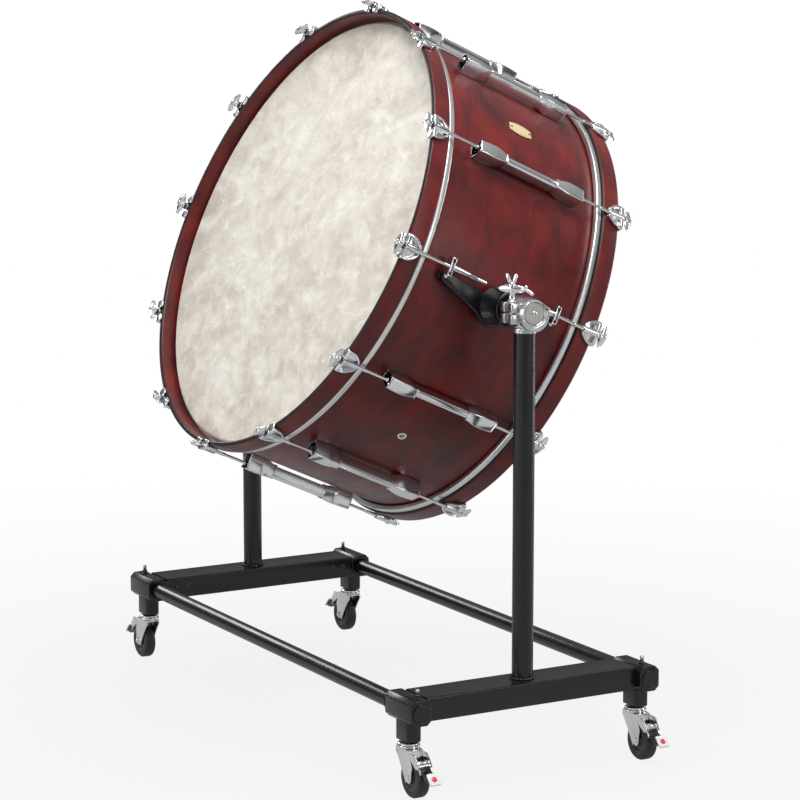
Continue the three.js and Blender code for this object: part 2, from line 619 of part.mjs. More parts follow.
function forkGeometry() {
  const stem = rod('z', STEM_RADIUS, raceTop - 1, raceTop + STEM_LENGTH, [0, 0, 0], 12);
  const race = turned([
    [0, raceBottom], [RACE_RADIUS, raceBottom], [RACE_RADIUS - 2, raceBottom + RACE_HEIGHT / 2],
    [RACE_RADIUS - 5, raceTop], [0, raceTop],
  ], 16).rotateX(Math.PI / 2);
  const crownFront = -RACE_RADIUS + CROWN_INSET;
  const crownRear = RACE_RADIUS + CROWN_OVERHANG;
  const crown = box(crownFront, crownRear, -forkOutside, forkOutside,
    raceBottom - FORK_WALL, raceBottom + BITE);
  const [pinX, pinZ] = pedalPivot;
  const cheek = outline([
    [crownFront, raceBottom], [crownFront + 2, raceBottom - CHEEK_SHOULDER],
    [TRAIL - CHEEK_BOSS, axleHeight - CHEEK_BOSS / 2], [TRAIL, axleHeight - CHEEK_BOSS],
    [TRAIL + CHEEK_BOSS, axleHeight - CHEEK_BOSS / 2],
    [TRAIL + CHEEK_BOSS, axleHeight + CHEEK_REAR], [pinX + PEDAL_KNUCKLE_RADIUS, pinZ],
    [pinX, pinZ + PEDAL_KNUCKLE_RADIUS], [crownRear, raceBottom],
  ]);
  const cheeks = [-1, 1].map((side) => {
    const [, outer] = span(side, forkInside, forkOutside);
    return plate(cheek, FORK_WALL).rotateX(Math.PI / 2).translate(0, outer, 0);
  });
  const axle = rod('y', CASTER_AXLE_RADIUS, -forkOutside - AXLE_HEAD, forkOutside + AXLE_HEAD,
    [TRAIL, 0, axleHeight], 12);
  const pin = rod('y', PEDAL_PIN_RADIUS, -forkOutside - BITE, forkOutside + BITE,
    [pinX, 0, pinZ], 8);
  return carve([stem, race, crown, ...cheeks, axle, pin]);
}

function wheelGeometry() {
  const radius = WHEEL_RADIUS / Math.cos(Math.PI / WHEEL_SIDES);
  const half = WHEEL_WIDTH / 2;
  const hub = CASTER_AXLE_RADIUS + FIT;
  const wheel = ring([
    [hub, -half], [radius - TREAD_ROUND, -half], [radius, -half + TREAD_ROUND],
    [radius, half - TREAD_ROUND], [radius - TREAD_ROUND, half], [hub, half],
  ], WHEEL_SIDES);
  return wheel.rotateY(Math.PI / WHEEL_SIDES).translate(TRAIL, 0, axleHeight);
}

// The brake pedal turns on the fork's rear pin.
function pedalGeometry() {
  const width = forkInside - FIT;
  const [pinX, pinZ] = pedalPivot;
  const knuckle = rod('y', PEDAL_KNUCKLE_RADIUS, -width, width, [pinX, 0, pinZ], 12);
  const tabTop = pinZ - PEDAL_DROP + PEDAL_THICKNESS;
  const arm = plate(outline([
    [pinX, pinZ + PEDAL_THICKNESS], [pinX + BITE, pinZ - PEDAL_THICKNESS],
    [pinX + PEDAL_KNEE, pinZ - PEDAL_DROP + 2], [pinX + PEDAL_LENGTH, pinZ - PEDAL_DROP],
    [pinX + PEDAL_LENGTH, tabTop], [pinX + PEDAL_KNEE, tabTop + PEDAL_THICKNESS],
  ]), PEDAL_WIDTH).translate(0, 0, -PEDAL_WIDTH / 2).rotateX(Math.PI / 2);
  const bore = rod('y', PEDAL_PIN_RADIUS + FIT, -width - BITE, width + BITE, [pinX, 0, pinZ], 8);
  return carve([knuckle, arm], [bore]);
}

function buildStand(stand) {
  for (const [side, name] of [[-1, 'left'], [1, 'right']]) {
    addMesh(stand, `side_frame_${name}`, sideFrameGeometry(side), blackSteel);
    const bolt = addMesh(stand, `tilt_bolt_${name}`, tiltBoltGeometry(), chrome);
    bolt.position.set(side * postX, -boltOffset, PIVOT_HEIGHT);
  }
  for (const [end, name] of [[-1, 'front'], [1, 'rear']]) {
    addMesh(stand, `cross_member_${name}`, crossMemberGeometry(end), blackSteel);
    for (const [side, sideName] of [[-1, 'left'], [1, 'right']]) {
      const caster = new THREE.Group();
      caster.position.set(side * (postX + CASTER_INSET), end * blockY, 0);
      caster.rotation.z = side > 0 ? 0 : Math.PI;
      addMesh(caster, `caster_fork_${name}_${sideName}`, forkGeometry(), zinc);
      addMesh(caster, `caster_wheel_${name}_${sideName}`, wheelGeometry(), blackRubber);
      addMesh(caster, `brake_pedal_${name}_${sideName}`, pedalGeometry(), pedalPlastic);
      stand.add(caster);
    }
  }
}

// ---------------------------------------------------------------- assembly

// The tilted drum's middle lies a little behind the trunnions, and the origin is under it.
const set = new THREE.Group();
set.position.y = -PIVOT_DROP * Math.sin(radians(TILT));
buildStand(set);
buildDrum();
set.add(drum);

const bassDrum = new THREE.Group();
bassDrum.add(set);

export default bassDrum;
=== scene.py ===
"""A concert bass drum on trunnions in a rolling stand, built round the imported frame."""

import json
import math

import bmesh
import bpy
from mathutils import Matrix, Vector


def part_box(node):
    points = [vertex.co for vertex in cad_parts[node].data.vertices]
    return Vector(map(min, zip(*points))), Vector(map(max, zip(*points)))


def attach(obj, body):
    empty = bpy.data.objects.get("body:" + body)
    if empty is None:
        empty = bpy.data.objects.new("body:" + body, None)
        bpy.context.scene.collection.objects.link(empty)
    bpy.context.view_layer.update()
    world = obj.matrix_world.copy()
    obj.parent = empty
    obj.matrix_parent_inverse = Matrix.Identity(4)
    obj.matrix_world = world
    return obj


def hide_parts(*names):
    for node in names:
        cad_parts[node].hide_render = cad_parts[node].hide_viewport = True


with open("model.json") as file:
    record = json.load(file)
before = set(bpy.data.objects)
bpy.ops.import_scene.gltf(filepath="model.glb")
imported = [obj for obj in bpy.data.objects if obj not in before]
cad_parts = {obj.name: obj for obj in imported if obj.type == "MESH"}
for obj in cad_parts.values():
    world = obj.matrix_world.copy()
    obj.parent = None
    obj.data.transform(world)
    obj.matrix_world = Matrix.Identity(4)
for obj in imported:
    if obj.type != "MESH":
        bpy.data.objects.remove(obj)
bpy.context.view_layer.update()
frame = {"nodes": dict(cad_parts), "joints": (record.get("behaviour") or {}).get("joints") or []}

# ---------------------------------------------------------------- places from the frame

MM = 0.001                      # the shapes below are drawn in millimetres
UPRIGHT = Matrix.Identity(4)
JOINTS = {joint["name"]: joint for joint in frame["joints"]}


def middle_of(*nodes):
    """The middle of the box round some nodes."""
    lows, highs = zip(*(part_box(node) for node in nodes))
    return (Vector(map(min, *lows)) + Vector(map(max, *highs))) / 2


def drum_frame():
    """Millimetres in the drum: y along its axis to the resonant head, z up, x to the right."""
    along = Vector(JOINTS["resonant_rod_01_turn"]["axis"])
    across = Vector((1, 0, 0))
    up = across.cross(along)
    turn = Matrix((across, along, up)).transposed().to_4x4()
    return Matrix.Translation(middle_of("batter_head", "resonant_head")) @ turn @ Matrix.Scale(MM, 4)


DRUM = drum_frame()


def measure(node, place):
    """The lowest and highest corner of a CAD node, in the frame that place says."""
    inside = place.inverted()
    points = [inside @ vertex.co for vertex in frame["nodes"][node].data.vertices]
    low = Vector([min(point[i] for point in points) for i in range(3)])
    high = Vector([max(point[i] for point in points) for i in range(3)])
    return low, high


def around(angle):
    """Turns +x of the drum frame to an angle from +x towards +z, in degrees."""
    return Matrix.Rotation(-math.radians(angle), 4, "Y")


def turned_round(end):
    """No change for the resonant end, and half a turn about x for the batter end."""
    return UPRIGHT if end > 0 else Matrix.Rotation(math.pi, 4, "X")


def drum_end(end):
    """The drum frame for the resonant end, or turned round for the batter end."""
    return DRUM @ turned_round(end)


def at(x=0.0, y=0.0, z=0.0):
    return Matrix.Translation((x, y, z))


def world_frame(point):
    return Matrix.Translation(point) @ Matrix.Scale(MM, 4)


TO_X = Matrix.Rotation(-math.pi / 2, 4, "Z")      # turns the y axis to x
TO_Z = Matrix.Rotation(math.pi / 2, 4, "X")       # turns the y axis to z
OUTWARD = Matrix.Rotation(math.pi / 2, 4, "Y")    # turns an outline's depth to x
# Stands an outline up across x: its x to y, its y to z and its depth to x.
ACROSS_X = Matrix(((0, 0, 1, 0), (1, 0, 0, 0), (0, 1, 0, 0), (0, 0, 0, 1)))
# Turns an outline's x to the radius and its y to the tangent, with its depth along y.
TOE_FLAT = Matrix(((1, 0, 0, 0), (0, 0, 1, 0), (0, 1, 0, 0), (0, 0, 0, 1)))


def facing(side, axis=(0, 1, 0)):
    """No change on the positive side, and a mirror across an axis on the other."""
    return UPRIGHT if side > 0 else Matrix.Scale(-1, 4, axis)


def on_side(place, side):
    """A place on the right side of the drum, or its mirror image for the left."""
    return place @ facing(side, (1, 0, 0))


LINES = 12
LINE_STEP = 360 / LINES
ENDS = ((-1, "batter"), (1, "resonant"))
SIDES = ((-1, "left"), (1, "right"))
STAND_ENDS = ((-1, "front"), (1, "rear"))
CORNERS = [f"{end_name}_{side_name}" for _, end_name in STAND_ENDS for _, side_name in SIDES]

SHELL_RADIUS, SHELL_END, _ = measure("shell", DRUM)[1]
HEAD_LOW, HEAD_HIGH = measure("resonant_head", DRUM)
HOOP_LOW, HOOP_HIGH = measure("resonant_hoop", DRUM)
ROD_LOW, ROD_HIGH = measure("resonant_rod_01", DRUM)
FILM_FACE = HEAD_HIGH.y
FLESH_OUTSIDE = HEAD_HIGH.x
FLESH_BOTTOM = HEAD_LOW.y
FLESH_WIDTH = 13.0
FLESH_TOP = FLESH_BOTTOM + FLESH_WIDTH
CLAW_FACE = HOOP_HIGH.y
CLAW_LIP = 5.0
HOOP_END = CLAW_FACE - CLAW_LIP
HOOP_BOTTOM = HOOP_LOW.y
HOOP_INSET = 7.0                # the hoop's inner face outside the shell
HOOP_THICKNESS = 11.0
HOOP_INSIDE = SHELL_RADIUS + HOOP_INSET
HOOP_OUTSIDE = HOOP_INSIDE + HOOP_THICKNESS
ROD_CIRCLE = (ROD_LOW.x + ROD_HIGH.x) / 2
HANDLE_END = ROD_HIGH.y
LONG_ROD_END = ROD_LOW.y
ROD_END = measure("resonant_rod_04", DRUM)[0].y
LUG_END = measure("lug_04", DRUM)[1].y
SHARP_ANGLE = math.radians(38)  # edges bent by more than this are shown sharp

# ---------------------------------------------------------------- shapes


def arc(across, along, radius, start, end, steps):
    """Points of an arc about (across, along), from one angle to another in degrees."""
    turns = [math.radians(start + (end - start) * i / steps) for i in range(steps + 1)]
    return [(across + radius * math.cos(t), along + radius * math.sin(t)) for t in turns]


def rounded_rectangle(x0, x1, y0, y1, radius, steps=4):
    return (arc(x1 - radius, y0 + radius, radius, -90, 0, steps)
            + arc(x1 - radius, y1 - radius, radius, 0, 90, steps)
            + arc(x0 + radius, y1 - radius, radius, 90, 180, steps)
            + arc(x0 + radius, y0 + radius, radius, 180, 270, steps))


def turned(profile, sides=32, closed=False, uv_radius=None):
    """A body turned about y from (radius, y) points; closed joins the last point to the first."""
    bm = bmesh.new()
    rings = []
    for radius, y in profile:
        if radius < 1e-6:
            rings.append([bm.verts.new((0, y, 0))] * sides)
            continue
        angles = [2 * math.pi * i / sides for i in range(sides)]
        rings.append([bm.verts.new((radius * math.cos(t), y, radius * math.sin(t))) for t in angles])
    pairs = list(zip(rings, rings[1:]))
    lengths = [0.0]
    for (r0, y0), (r1, y1) in zip(profile, profile[1:] + profile[:1]):
        lengths.append(lengths[-1] + math.hypot(r1 - r0, y1 - y0))
    if closed:
        pairs.append((rings[-1], rings[0]))
    uv_layer = bm.loops.layers.uv.new("UVMap") if uv_radius else None
    for row, (lower, upper) in enumerate(pairs):
        for i in range(sides):
            j = (i + 1) % sides
            corners = [(lower[i], i, row), (lower[j], i + 1, row), (upper[j], i + 1, row + 1),
                       (upper[i], i, row + 1)]
            kept = [c for k, c in enumerate(corners) if c[0] is not corners[k - 1][0]]
            face = bm.faces.new([c[0] for c in kept])
            if uv_layer:
                for loop, (_, step, level) in zip(face.loops, kept):
                    u = 2 * math.pi * step / sides * uv_radius * MM
                    loop[uv_layer].uv = (u, lengths[level] * MM)
    return bm


def prism(outline, depth):
    """An outline in x and y, made solid from z = 0 up to a depth."""
    bm = bmesh.new()
    face = bm.faces.new([bm.verts.new((x, y, 0)) for x, y in outline])
    grown = bmesh.ops.extrude_face_region(bm, geom=[face])["geom"]
    verts = [item for item in grown if isinstance(item, bmesh.types.BMVert)]
    bmesh.ops.translate(bm, verts=verts, vec=(0, 0, depth))
    return bm


def block(x0, x1, y0, y1, z0, z1):
    bm = bmesh.new()
    bmesh.ops.create_cube(bm, size=1)
    bm.transform(at((x0 + x1) / 2, (y0 + y1) / 2, (z0 + z1) / 2)
                 @ Matrix.Diagonal((x1 - x0, y1 - y0, z1 - z0, 1)))
    return bm


def loft(sections):
    """A skin over closed sections that have the same number of points, with flat ends."""
    bm = bmesh.new()
    rings = [[bm.verts.new(point) for point in section] for section in sections]
    count = len(rings[0])
    for lower, upper in zip(rings, rings[1:]):
        for i in range(count):
            j = (i + 1) % count
            bm.faces.new((lower[i], lower[j], upper[j], upper[i]))
    bm.faces.new(rings[0])
    bm.faces.new(rings[-1])
    return bm


def pin(radius, start, end, sides=24, edge=0.4):
    """A round bar along y with slightly rounded ends."""
    return turned([(0, start), (radius - edge, start), (radius, start + edge),
                   (radius, end - edge), (radius - edge, end), (0, end)], sides)


def pipe(outside, inside, start, end, sides=40, edge=0.6):
    return turned([(inside, start), (outside - edge, start), (outside, start + edge),
                   (outside, end - edge), (outside - edge, end), (inside, end)], sides, closed=True)


def threaded(radius, start, end, pitch, depth, sides=12):
    """A bar along y with a ridge at every pitch."""
    profile = [(0, start)]
    ridges = max(1, round((end - start) / pitch))
    for i in range(ridges):
        y = start + (end - start) * i / ridges
        profile += [(radius - depth, y), (radius, y + (end - start) * 0.5 / ridges)]
    return turned(profile + [(radius - depth, end), (0, end)], sides)


def nut(across_flats, start, end):
    """A hexagon nut along y."""
    corner = across_flats / math.sqrt(3)
    chamfer = corner * 0.08
    return turned([(0, start), (corner - chamfer, start), (corner, start + chamfer),
                   (corner, end - chamfer), (corner - chamfer, end), (0, end)], 6)


def leaf(span, chord, thickness, point=0.75, stations=18, sides=14):
    """A lens that narrows to a point at both ends: span along z, chord along y."""
    sections = []
    for i in range(stations + 1):
        t = math.cos(math.pi * (1 - i / stations)) * 0.985
        half_chord = chord / 2 * (1 - t * t) ** point
        half_thick = thickness / 2 * (1 - t * t) ** 0.5
        turn = [2 * math.pi * k / sides for k in range(sides)]
        sections.append([(half_thick * math.cos(a), half_chord * math.sin(a), t * span / 2)
                         for a in turn])
    return loft(sections)


def swept(points, radius, sides=10):
    """A round bar along a list of points."""
    path = [Vector(point) for point in points]
    sections = []
    for i, point in enumerate(path):
        ahead = (path[min(i + 1, len(path) - 1)] - path[max(i - 1, 0)]).normalized()
        side = ahead.orthogonal().normalized() if i == 0 else (side - side.dot(ahead) * ahead).normalized()
        other = ahead.cross(side)
        turn = [2 * math.pi * k / sides for k in range(sides)]
        sections.append([point + radius * (math.cos(a) * side + math.sin(a) * other) for a in turn])
    return loft(sections)


def placed_object(name, data):
    """A new object in the scene, at the origin."""
    made = bpy.data.objects.new(name, data)
    bpy.context.scene.collection.objects.link(made)
    return made


def with_modifiers(piece):
    """The mesh that a piece's modifiers make."""
    view_layer = bpy.context.evaluated_depsgraph_get()
    return bpy.data.meshes.new_from_object(piece.evaluated_get(view_layer))


class Build:
    """Gathers shapes into one mesh."""

    def __init__(self):
        self.bm = bmesh.new()

    def add(self, part, place=UPRIGHT, finish=0, edge=0.0, rounds=2, sharp=40):
        """Rounds a part's sharp edges, gives it a finish by number and puts it in place."""
        bmesh.ops.recalc_face_normals(part, faces=part.faces)
        if edge:
            limit = math.radians(sharp)
            edges = [e for e in part.edges if e.is_manifold and e.calc_face_angle() > limit]
            bmesh.ops.bevel(part, geom=edges, offset=edge, segments=rounds, profile=0.5,
                            affect="EDGES", clamp_overlap=True)
        for face in part.faces:
            if finish is not None:
                face.material_index = finish
            face.smooth = True
        part.transform(place)
        if place.determinant() < 0:
            bmesh.ops.reverse_faces(part, faces=part.faces)
        gathered = bpy.data.meshes.new("gathered")
        part.to_mesh(gathered)
        part.free()
        self.bm.from_mesh(gathered)
        bpy.data.meshes.remove(gathered)
        return self

    def mesh(self, name, place):
        if place.determinant() < 0:
            bmesh.ops.reverse_faces(self.bm, faces=self.bm.faces)
        self.bm.transform(place)
        mesh = bpy.data.meshes.new(name)
        self.bm.to_mesh(mesh)
        self.bm.free()
        mesh.set_sharp_from_angle(angle=SHARP_ANGLE)
        return mesh

    def piece(self, name, body, finishes, place, stands_for=()):
        return show(self.mesh(name, place), name, body, finishes, stands_for)


def show(mesh, name, body, finishes, stands_for=()):
    """Puts a finished mesh in the scene as a piece that rides on a body."""
    if not mesh.materials:
        for finish in finishes:
            mesh.materials.append(MATERIALS[finish])
    piece = placed_object(name, mesh)
    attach(piece, body)
    if stands_for:
        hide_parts(*stands_for)
    return piece


# ---------------------------------------------------------------- shader effects


class Graph:
    """Short calls for the nodes of a material or a group."""

    def __init__(self, tree):
        self.tree = tree

    def node(self, kind, inputs=(), **settings):
        made = self.tree.nodes.new(kind)
        for key, value in settings.items():
            setattr(made, key, value)
        for socket, value in dict(inputs).items():
            if isinstance(value, bpy.types.NodeSocket):
                self.tree.links.new(value, made.inputs[socket])
            else:
                made.inputs[socket].default_value = value
        return made

    def link(self, output, entry):
        self.tree.links.new(output, entry)

    def mapped(self, vector, scale=(1, 1, 1), rotation=(0, 0, 0)):
        return self.node("ShaderNodeMapping", {"Vector": vector, "Scale": scale,
                                               "Rotation": rotation}).outputs[0]

    def noise(self, vector, scale, detail=4.0, roughness=0.55, distortion=0.0):
        return self.node("ShaderNodeTexNoise", {
            "Vector": vector, "Scale": scale, "Detail": detail, "Roughness": roughness,
            "Distortion": distortion}).outputs["Fac"]

    def ramp(self, value, low, high, to_low=0.0, to_high=1.0):
        return self.node("ShaderNodeMapRange", {
            "Value": value, "From Min": low, "From Max": high,
            "To Min": to_low, "To Max": to_high}).outputs["Result"]

    def math(self, operation, a, b=0.0):
        return self.node("ShaderNodeMath", {0: a, 1: b}, operation=operation).outputs[0]

    def mix(self, share, a, b):
        return self.node("ShaderNodeMix", {0: share, 6: a, 7: b}, data_type="RGBA").outputs[2]

    def placed(self, group, vector):
        """A group of effects, read along a vector."""
        return self.node("ShaderNodeGroup", {0: vector}, node_tree=group)

    def coordinates(self, kind):
        return self.node("ShaderNodeTexCoord").outputs[kind]


def effect(name, entries, results):
    """An empty shader group with named inputs and outputs, and its graph."""
    group = bpy.data.node_groups.new(name, "ShaderNodeTree")
    for label, kind, default in entries:
        socket = group.interface.new_socket(label, in_out="INPUT", socket_type=kind)
        if default is not None:
            socket.default_value = default
    for label, kind in results:
        group.interface.new_socket(label, in_out="OUTPUT", socket_type=kind)
    graph = Graph(group)
    return group, graph, graph.node("NodeGroupInput"), graph.node("NodeGroupOutput")


def handling_effect():
    """Smudges and fine scratches from hands and cloths: a mask and a height."""
    group, g, entry, result = effect("handling marks", [
        ("Vector", "NodeSocketVector", None), ("Smudge scale", "NodeSocketFloat", 30.0),
        ("Scratch scale", "NodeSocketFloat", 400.0)],
        [("Mask", "NodeSocketFloat"), ("Height", "NodeSocketFloat")])
    smudge = g.noise(entry.outputs[0], entry.outputs[1], 5.0, 0.6, 0.4)
    stretched = g.mapped(entry.outputs[0], (1.0, 0.12, 1.0), (0.4, 0.3, 0.9))
    scratch = g.noise(stretched, entry.outputs[2], 2.0, 0.5)
    g.link(g.ramp(smudge, 0.35, 0.72), result.inputs[0])
    g.link(scratch, result.inputs[1])
    return group


def figure_effect():
    """The figure of a stained veneer: pores along the grain over soft blotches."""
    group, g, entry, result = effect("veneer figure", [
        ("Vector", "NodeSocketVector", None), ("Figure scale", "NodeSocketFloat", 12.0),
        ("Pore scale", "NodeSocketFloat", 260.0)],
        [("Blotch", "NodeSocketFloat"), ("Grain", "NodeSocketFloat"), ("Pores", "NodeSocketFloat")])
    slanted = g.mapped(entry.outputs[0], (0.8, 1.2, 1.0), (0, 0, 0.5))
    blotch = g.noise(slanted, entry.outputs[1], 5.0, 0.58, 0.5)
    along = g.mapped(entry.outputs[0], (0.30, 1.3, 1.0))
    grain = g.noise(along, g.math("MULTIPLY", entry.outputs[1], 5.0), 5.0, 0.6, 0.8)
    fine = g.mapped(entry.outputs[0], (0.08, 1.0, 1.0))
    pores = g.noise(fine, entry.outputs[2], 3.0, 0.6)
    g.link(g.ramp(blotch, 0.30, 0.70), result.inputs[0])
    g.link(g.ramp(grain, 0.34, 0.68), result.inputs[1])
    g.link(g.ramp(pores, 0.56, 0.70), result.inputs[2])
    return group


def peel_effect():
    """The fine orange peel of a baked powder coat or a moulding."""
    group, g, entry, result = effect("orange peel", [
        ("Vector", "NodeSocketVector", None), ("Scale", "NodeSocketFloat", 900.0)],
        [("Height", "NodeSocketFloat"), ("Mask", "NodeSocketFloat")])
    g.link(g.noise(entry.outputs[0], entry.outputs[1], 2.0, 0.5), result.inputs[0])
    broad = g.noise(entry.outputs[0], 14.0, 4.0, 0.6)
    g.link(g.ramp(broad, 0.3, 0.7), result.inputs[1])
    return group


HANDLING = handling_effect()
FIGURE = figure_effect()
PEEL = peel_effect()


def material(name, **constants):
    """A material with its shader, its graph and constants on the shader's own sockets."""
    made = bpy.data.materials.new(name)
    made.use_nodes = True
    g = Graph(made.node_tree)
    shader = made.node_tree.nodes["Principled BSDF"]
    for key, value in constants.items():
        shader.inputs[key.replace("_", " ")].default_value = value
    return made, g, shader


def finished(g, shader, tone, mask, roughness, height, bump):
    """Gives a shader its colour, a roughness between two values that a mask picks, and a bump."""
    strength, distance = bump
    raised = g.node("ShaderNodeBump", {"Height": height, "Strength": strength, "Distance": distance})
    g.link(tone, shader.inputs["Base Color"])
    g.link(g.ramp(mask, 0, 1, *roughness), shader.inputs["Roughness"])
    g.link(raised.outputs[0], shader.inputs["Normal"])


def colour(red, green, blue):
    """A linear colour from the 0 to 255 values of a paint chart."""
    def linear(value):
        v = value / 255
        return v / 12.92 if v <= 0.04045 else ((v + 0.055) / 1.055) ** 2.4
    return (linear(red), linear(green), linear(blue), 1.0)


def stained_wood():
    made, g, shader = material("stained_wood", Coat_Weight=0.3, Coat_Roughness=0.3,
                               Specular_IOR_Level=0.3)
    figure = g.placed(FIGURE, g.coordinates("UV"))
    base = g.mix(figure.outputs["Blotch"], colour(66, 11, 13), colour(126, 23, 20))
    grained = g.mix(g.math("MULTIPLY", figure.outputs["Grain"], 0.24), base, colour(44, 9, 12))
    pored = g.mix(g.math("MULTIPLY", figure.outputs["Pores"], 0.45), grained, colour(24, 7, 10))
    finished(g, shader, pored, figure.outputs["Grain"], (0.34, 0.46), figure.outputs["Pores"],
             (0.12, 0.0003))
    return made


def black_lacquer():
    made, g, shader = material("black_lacquer", Coat_Weight=0.15, Coat_Roughness=0.3,
                               Specular_IOR_Level=0.3)
    marks = g.placed(HANDLING, g.coordinates("Object"))
    mask = marks.outputs["Mask"]
    finished(g, shader, g.mix(mask, colour(13, 11, 11), colour(22, 18, 17)), mask, (0.4, 0.52),
             marks.outputs["Height"], (0.05, 0.0002))
    return made


FILM_TILT = math.radians(24.5)      # of the head from upright, at rest
FIBRE_SLANT = math.radians(38)      # of the cloudy patches in the film


def head_film():
    """Fibres pressed in clear film: cloudy patches crossed by fine pale and dark threads."""
    made, g, shader = material("head_film", Specular_IOR_Level=0.35, Subsurface_Weight=0.0)
    flat = g.mapped(g.coordinates("Object"), (1, 1, 1), (-FILM_TILT, 0, 0))
    slanted = g.mapped(flat, (1.0, 1.0, 1.7), (0, FIBRE_SLANT, 0))
    clouds = g.noise(slanted, 7.5, 9.0, 0.66, 0.9)
    patches = g.noise(slanted, 22.0, 7.0, 0.62, 0.6)
    cloudy = g.math("ADD", g.math("MULTIPLY", clouds, 0.62), g.math("MULTIPLY", patches, 0.38))
    tone = g.ramp(cloudy, 0.38, 0.62)
    body = g.mix(tone, colour(200, 192, 179), colour(240, 235, 225))
    threads = []
    for scale, turn, width in ((16.0, 0.3, 0.012), (24.0, 1.3, 0.010), (38.0, 2.2, 0.012)):
        bent = g.mapped(slanted, (1.0, 1.0, 0.55), (0, turn, 0))
        field = g.noise(bent, scale, 2.5, 0.5, 1.6)
        ridge = g.math("ABSOLUTE", g.math("SUBTRACT", field, 0.5))
        threads.append(g.ramp(ridge, 0.0, width, 1.0, 0.0))
    pale = g.math("MAXIMUM", threads[0], threads[1])
    broken = g.math("MULTIPLY", pale, g.ramp(patches, 0.42, 0.58))
    light = g.mix(g.math("MULTIPLY", broken, 0.8), body, colour(250, 247, 240))
    dark = g.mix(g.math("MULTIPLY", threads[2], 0.3), light, colour(170, 160, 146))
    finished(g, shader, dark, tone, (0.5, 0.62), cloudy, (0.08, 0.0006))
    return made


def plated(name, tone, roughness, spread, bump):
    """A plated metal, polished or cast, with marks from handling."""
    made, g, shader = material(name, Metallic=1.0)
    marks = g.placed(HANDLING, g.coordinates("Object"))
    mask = marks.outputs["Mask"]
    dulled = tuple(channel * 0.88 for channel in tone[:3]) + (1.0,)
    finished(g, shader, g.mix(mask, tone, dulled), mask, (roughness, roughness + spread),
             marks.outputs["Height"], (bump, 0.0002))
    return made


def coated(name, tone, worn, roughness, scale, bump, metallic=0.0):
    """Powder coat, rubber or plastic: a fine peel and slow changes of tone."""
    made, g, shader = material(name, Metallic=metallic, Specular_IOR_Level=0.5)
    peel = g.placed(PEEL, g.coordinates("Object"))
    peel.inputs["Scale"].default_value = scale
    mask = peel.outputs["Mask"]
    finished(g, shader, g.mix(mask, tone, worn), mask, (roughness, roughness + 0.1),
             peel.outputs["Height"], (bump, 0.0003))
    return made


MATERIALS = {
    "stained_wood": stained_wood(),
    "black_lacquer": black_lacquer(),
    "head_film": head_film(),
    "chrome": plated("chrome", (0.80, 0.81, 0.83, 1), 0.10, 0.08, 0.006),
    "ring_steel": plated("ring_steel", (0.78, 0.78, 0.78, 1), 0.30, 0.08, 0.01),
    "cast_zinc": plated("cast_zinc", (0.60, 0.60, 0.61, 1), 0.22, 0.12, 0.08),
    "satin_disc": plated("satin_disc", (0.50, 0.49, 0.46, 1), 0.42, 0.12, 0.05),
    "dark_steel": plated("dark_steel", (0.09, 0.09, 0.095, 1), 0.32, 0.15, 0.06),
    "gold": coated("gold", colour(232, 214, 170), colour(222, 202, 156), 0.36, 900, 0.03, 0.35),
    "felt": coated("felt", colour(216, 200, 168), colour(198, 182, 150), 0.9, 500, 0.3),
    "black_steel": coated("black_steel", colour(12, 12, 14), colour(18, 18, 21), 0.21, 1100, 0.025),
    "black_rubber": coated("black_rubber", colour(26, 27, 31), colour(36, 37, 42), 0.42, 600, 0.12),
    "wheel_core": coated("wheel_core", colour(46, 49, 56), colour(60, 63, 70), 0.40, 700, 0.08),
    "white_tab": coated("white_tab", colour(236, 236, 234), colour(226, 226, 222), 0.3, 800, 0.04),
    "red_dot": coated("red_dot", colour(226, 58, 88), colour(214, 48, 76), 0.3, 800, 0.04),
}

# ---------------------------------------------------------------- repeats round the drum


def spread_tree():
    """Copies a mesh round the y axis: a count, a step in degrees, lines to skip and a finish."""
    tree = bpy.data.node_groups.new("round_the_drum", "GeometryNodeTree")
    tree.interface.new_socket("Geometry", in_out="INPUT", socket_type="NodeSocketGeometry")
    for label, kind, default in (("Count", "NodeSocketInt", LINES),
                                 ("Step", "NodeSocketFloat", LINE_STEP),
                                 ("Skip every", "NodeSocketInt", 0),
                                 ("Finish", "NodeSocketMaterial", None)):
        socket = tree.interface.new_socket(label, in_out="INPUT", socket_type=kind)
        if default is not None:
            socket.default_value = default
    tree.interface.new_socket("Geometry", in_out="OUTPUT", socket_type="NodeSocketGeometry")
    g = Graph(tree)
    entry = g.node("NodeGroupInput")
    places = g.node("GeometryNodePoints", {"Count": entry.outputs["Count"]})
    index = g.node("GeometryNodeInputIndex").outputs[0]
    turn = g.math("RADIANS", g.math("MULTIPLY", index, entry.outputs["Step"]))
    euler = g.node("ShaderNodeCombineXYZ", {"Y": g.math("MULTIPLY", turn, -1.0)})
    remainder = g.math("FLOORED_MODULO", index, entry.outputs["Skip every"])
    skipping = g.math("GREATER_THAN", entry.outputs["Skip every"], 0.5)
    left_out = g.math("MULTIPLY", skipping, g.math("LESS_THAN", remainder, 0.5))
    copies = g.node("GeometryNodeInstanceOnPoints", {
        "Points": places.outputs[0], "Selection": g.math("SUBTRACT", 1.0, left_out),
        "Instance": entry.outputs["Geometry"], "Rotation": euler.outputs[0]})
    real = g.node("GeometryNodeRealizeInstances", {"Geometry": copies.outputs[0]})
    dressed = g.node("GeometryNodeSetMaterial", {"Geometry": real.outputs[0],
                                                 "Material": entry.outputs["Finish"]})
    g.node("NodeGroupOutput", {"Geometry": dressed.outputs[0]})
    return tree


SPREAD = spread_tree()


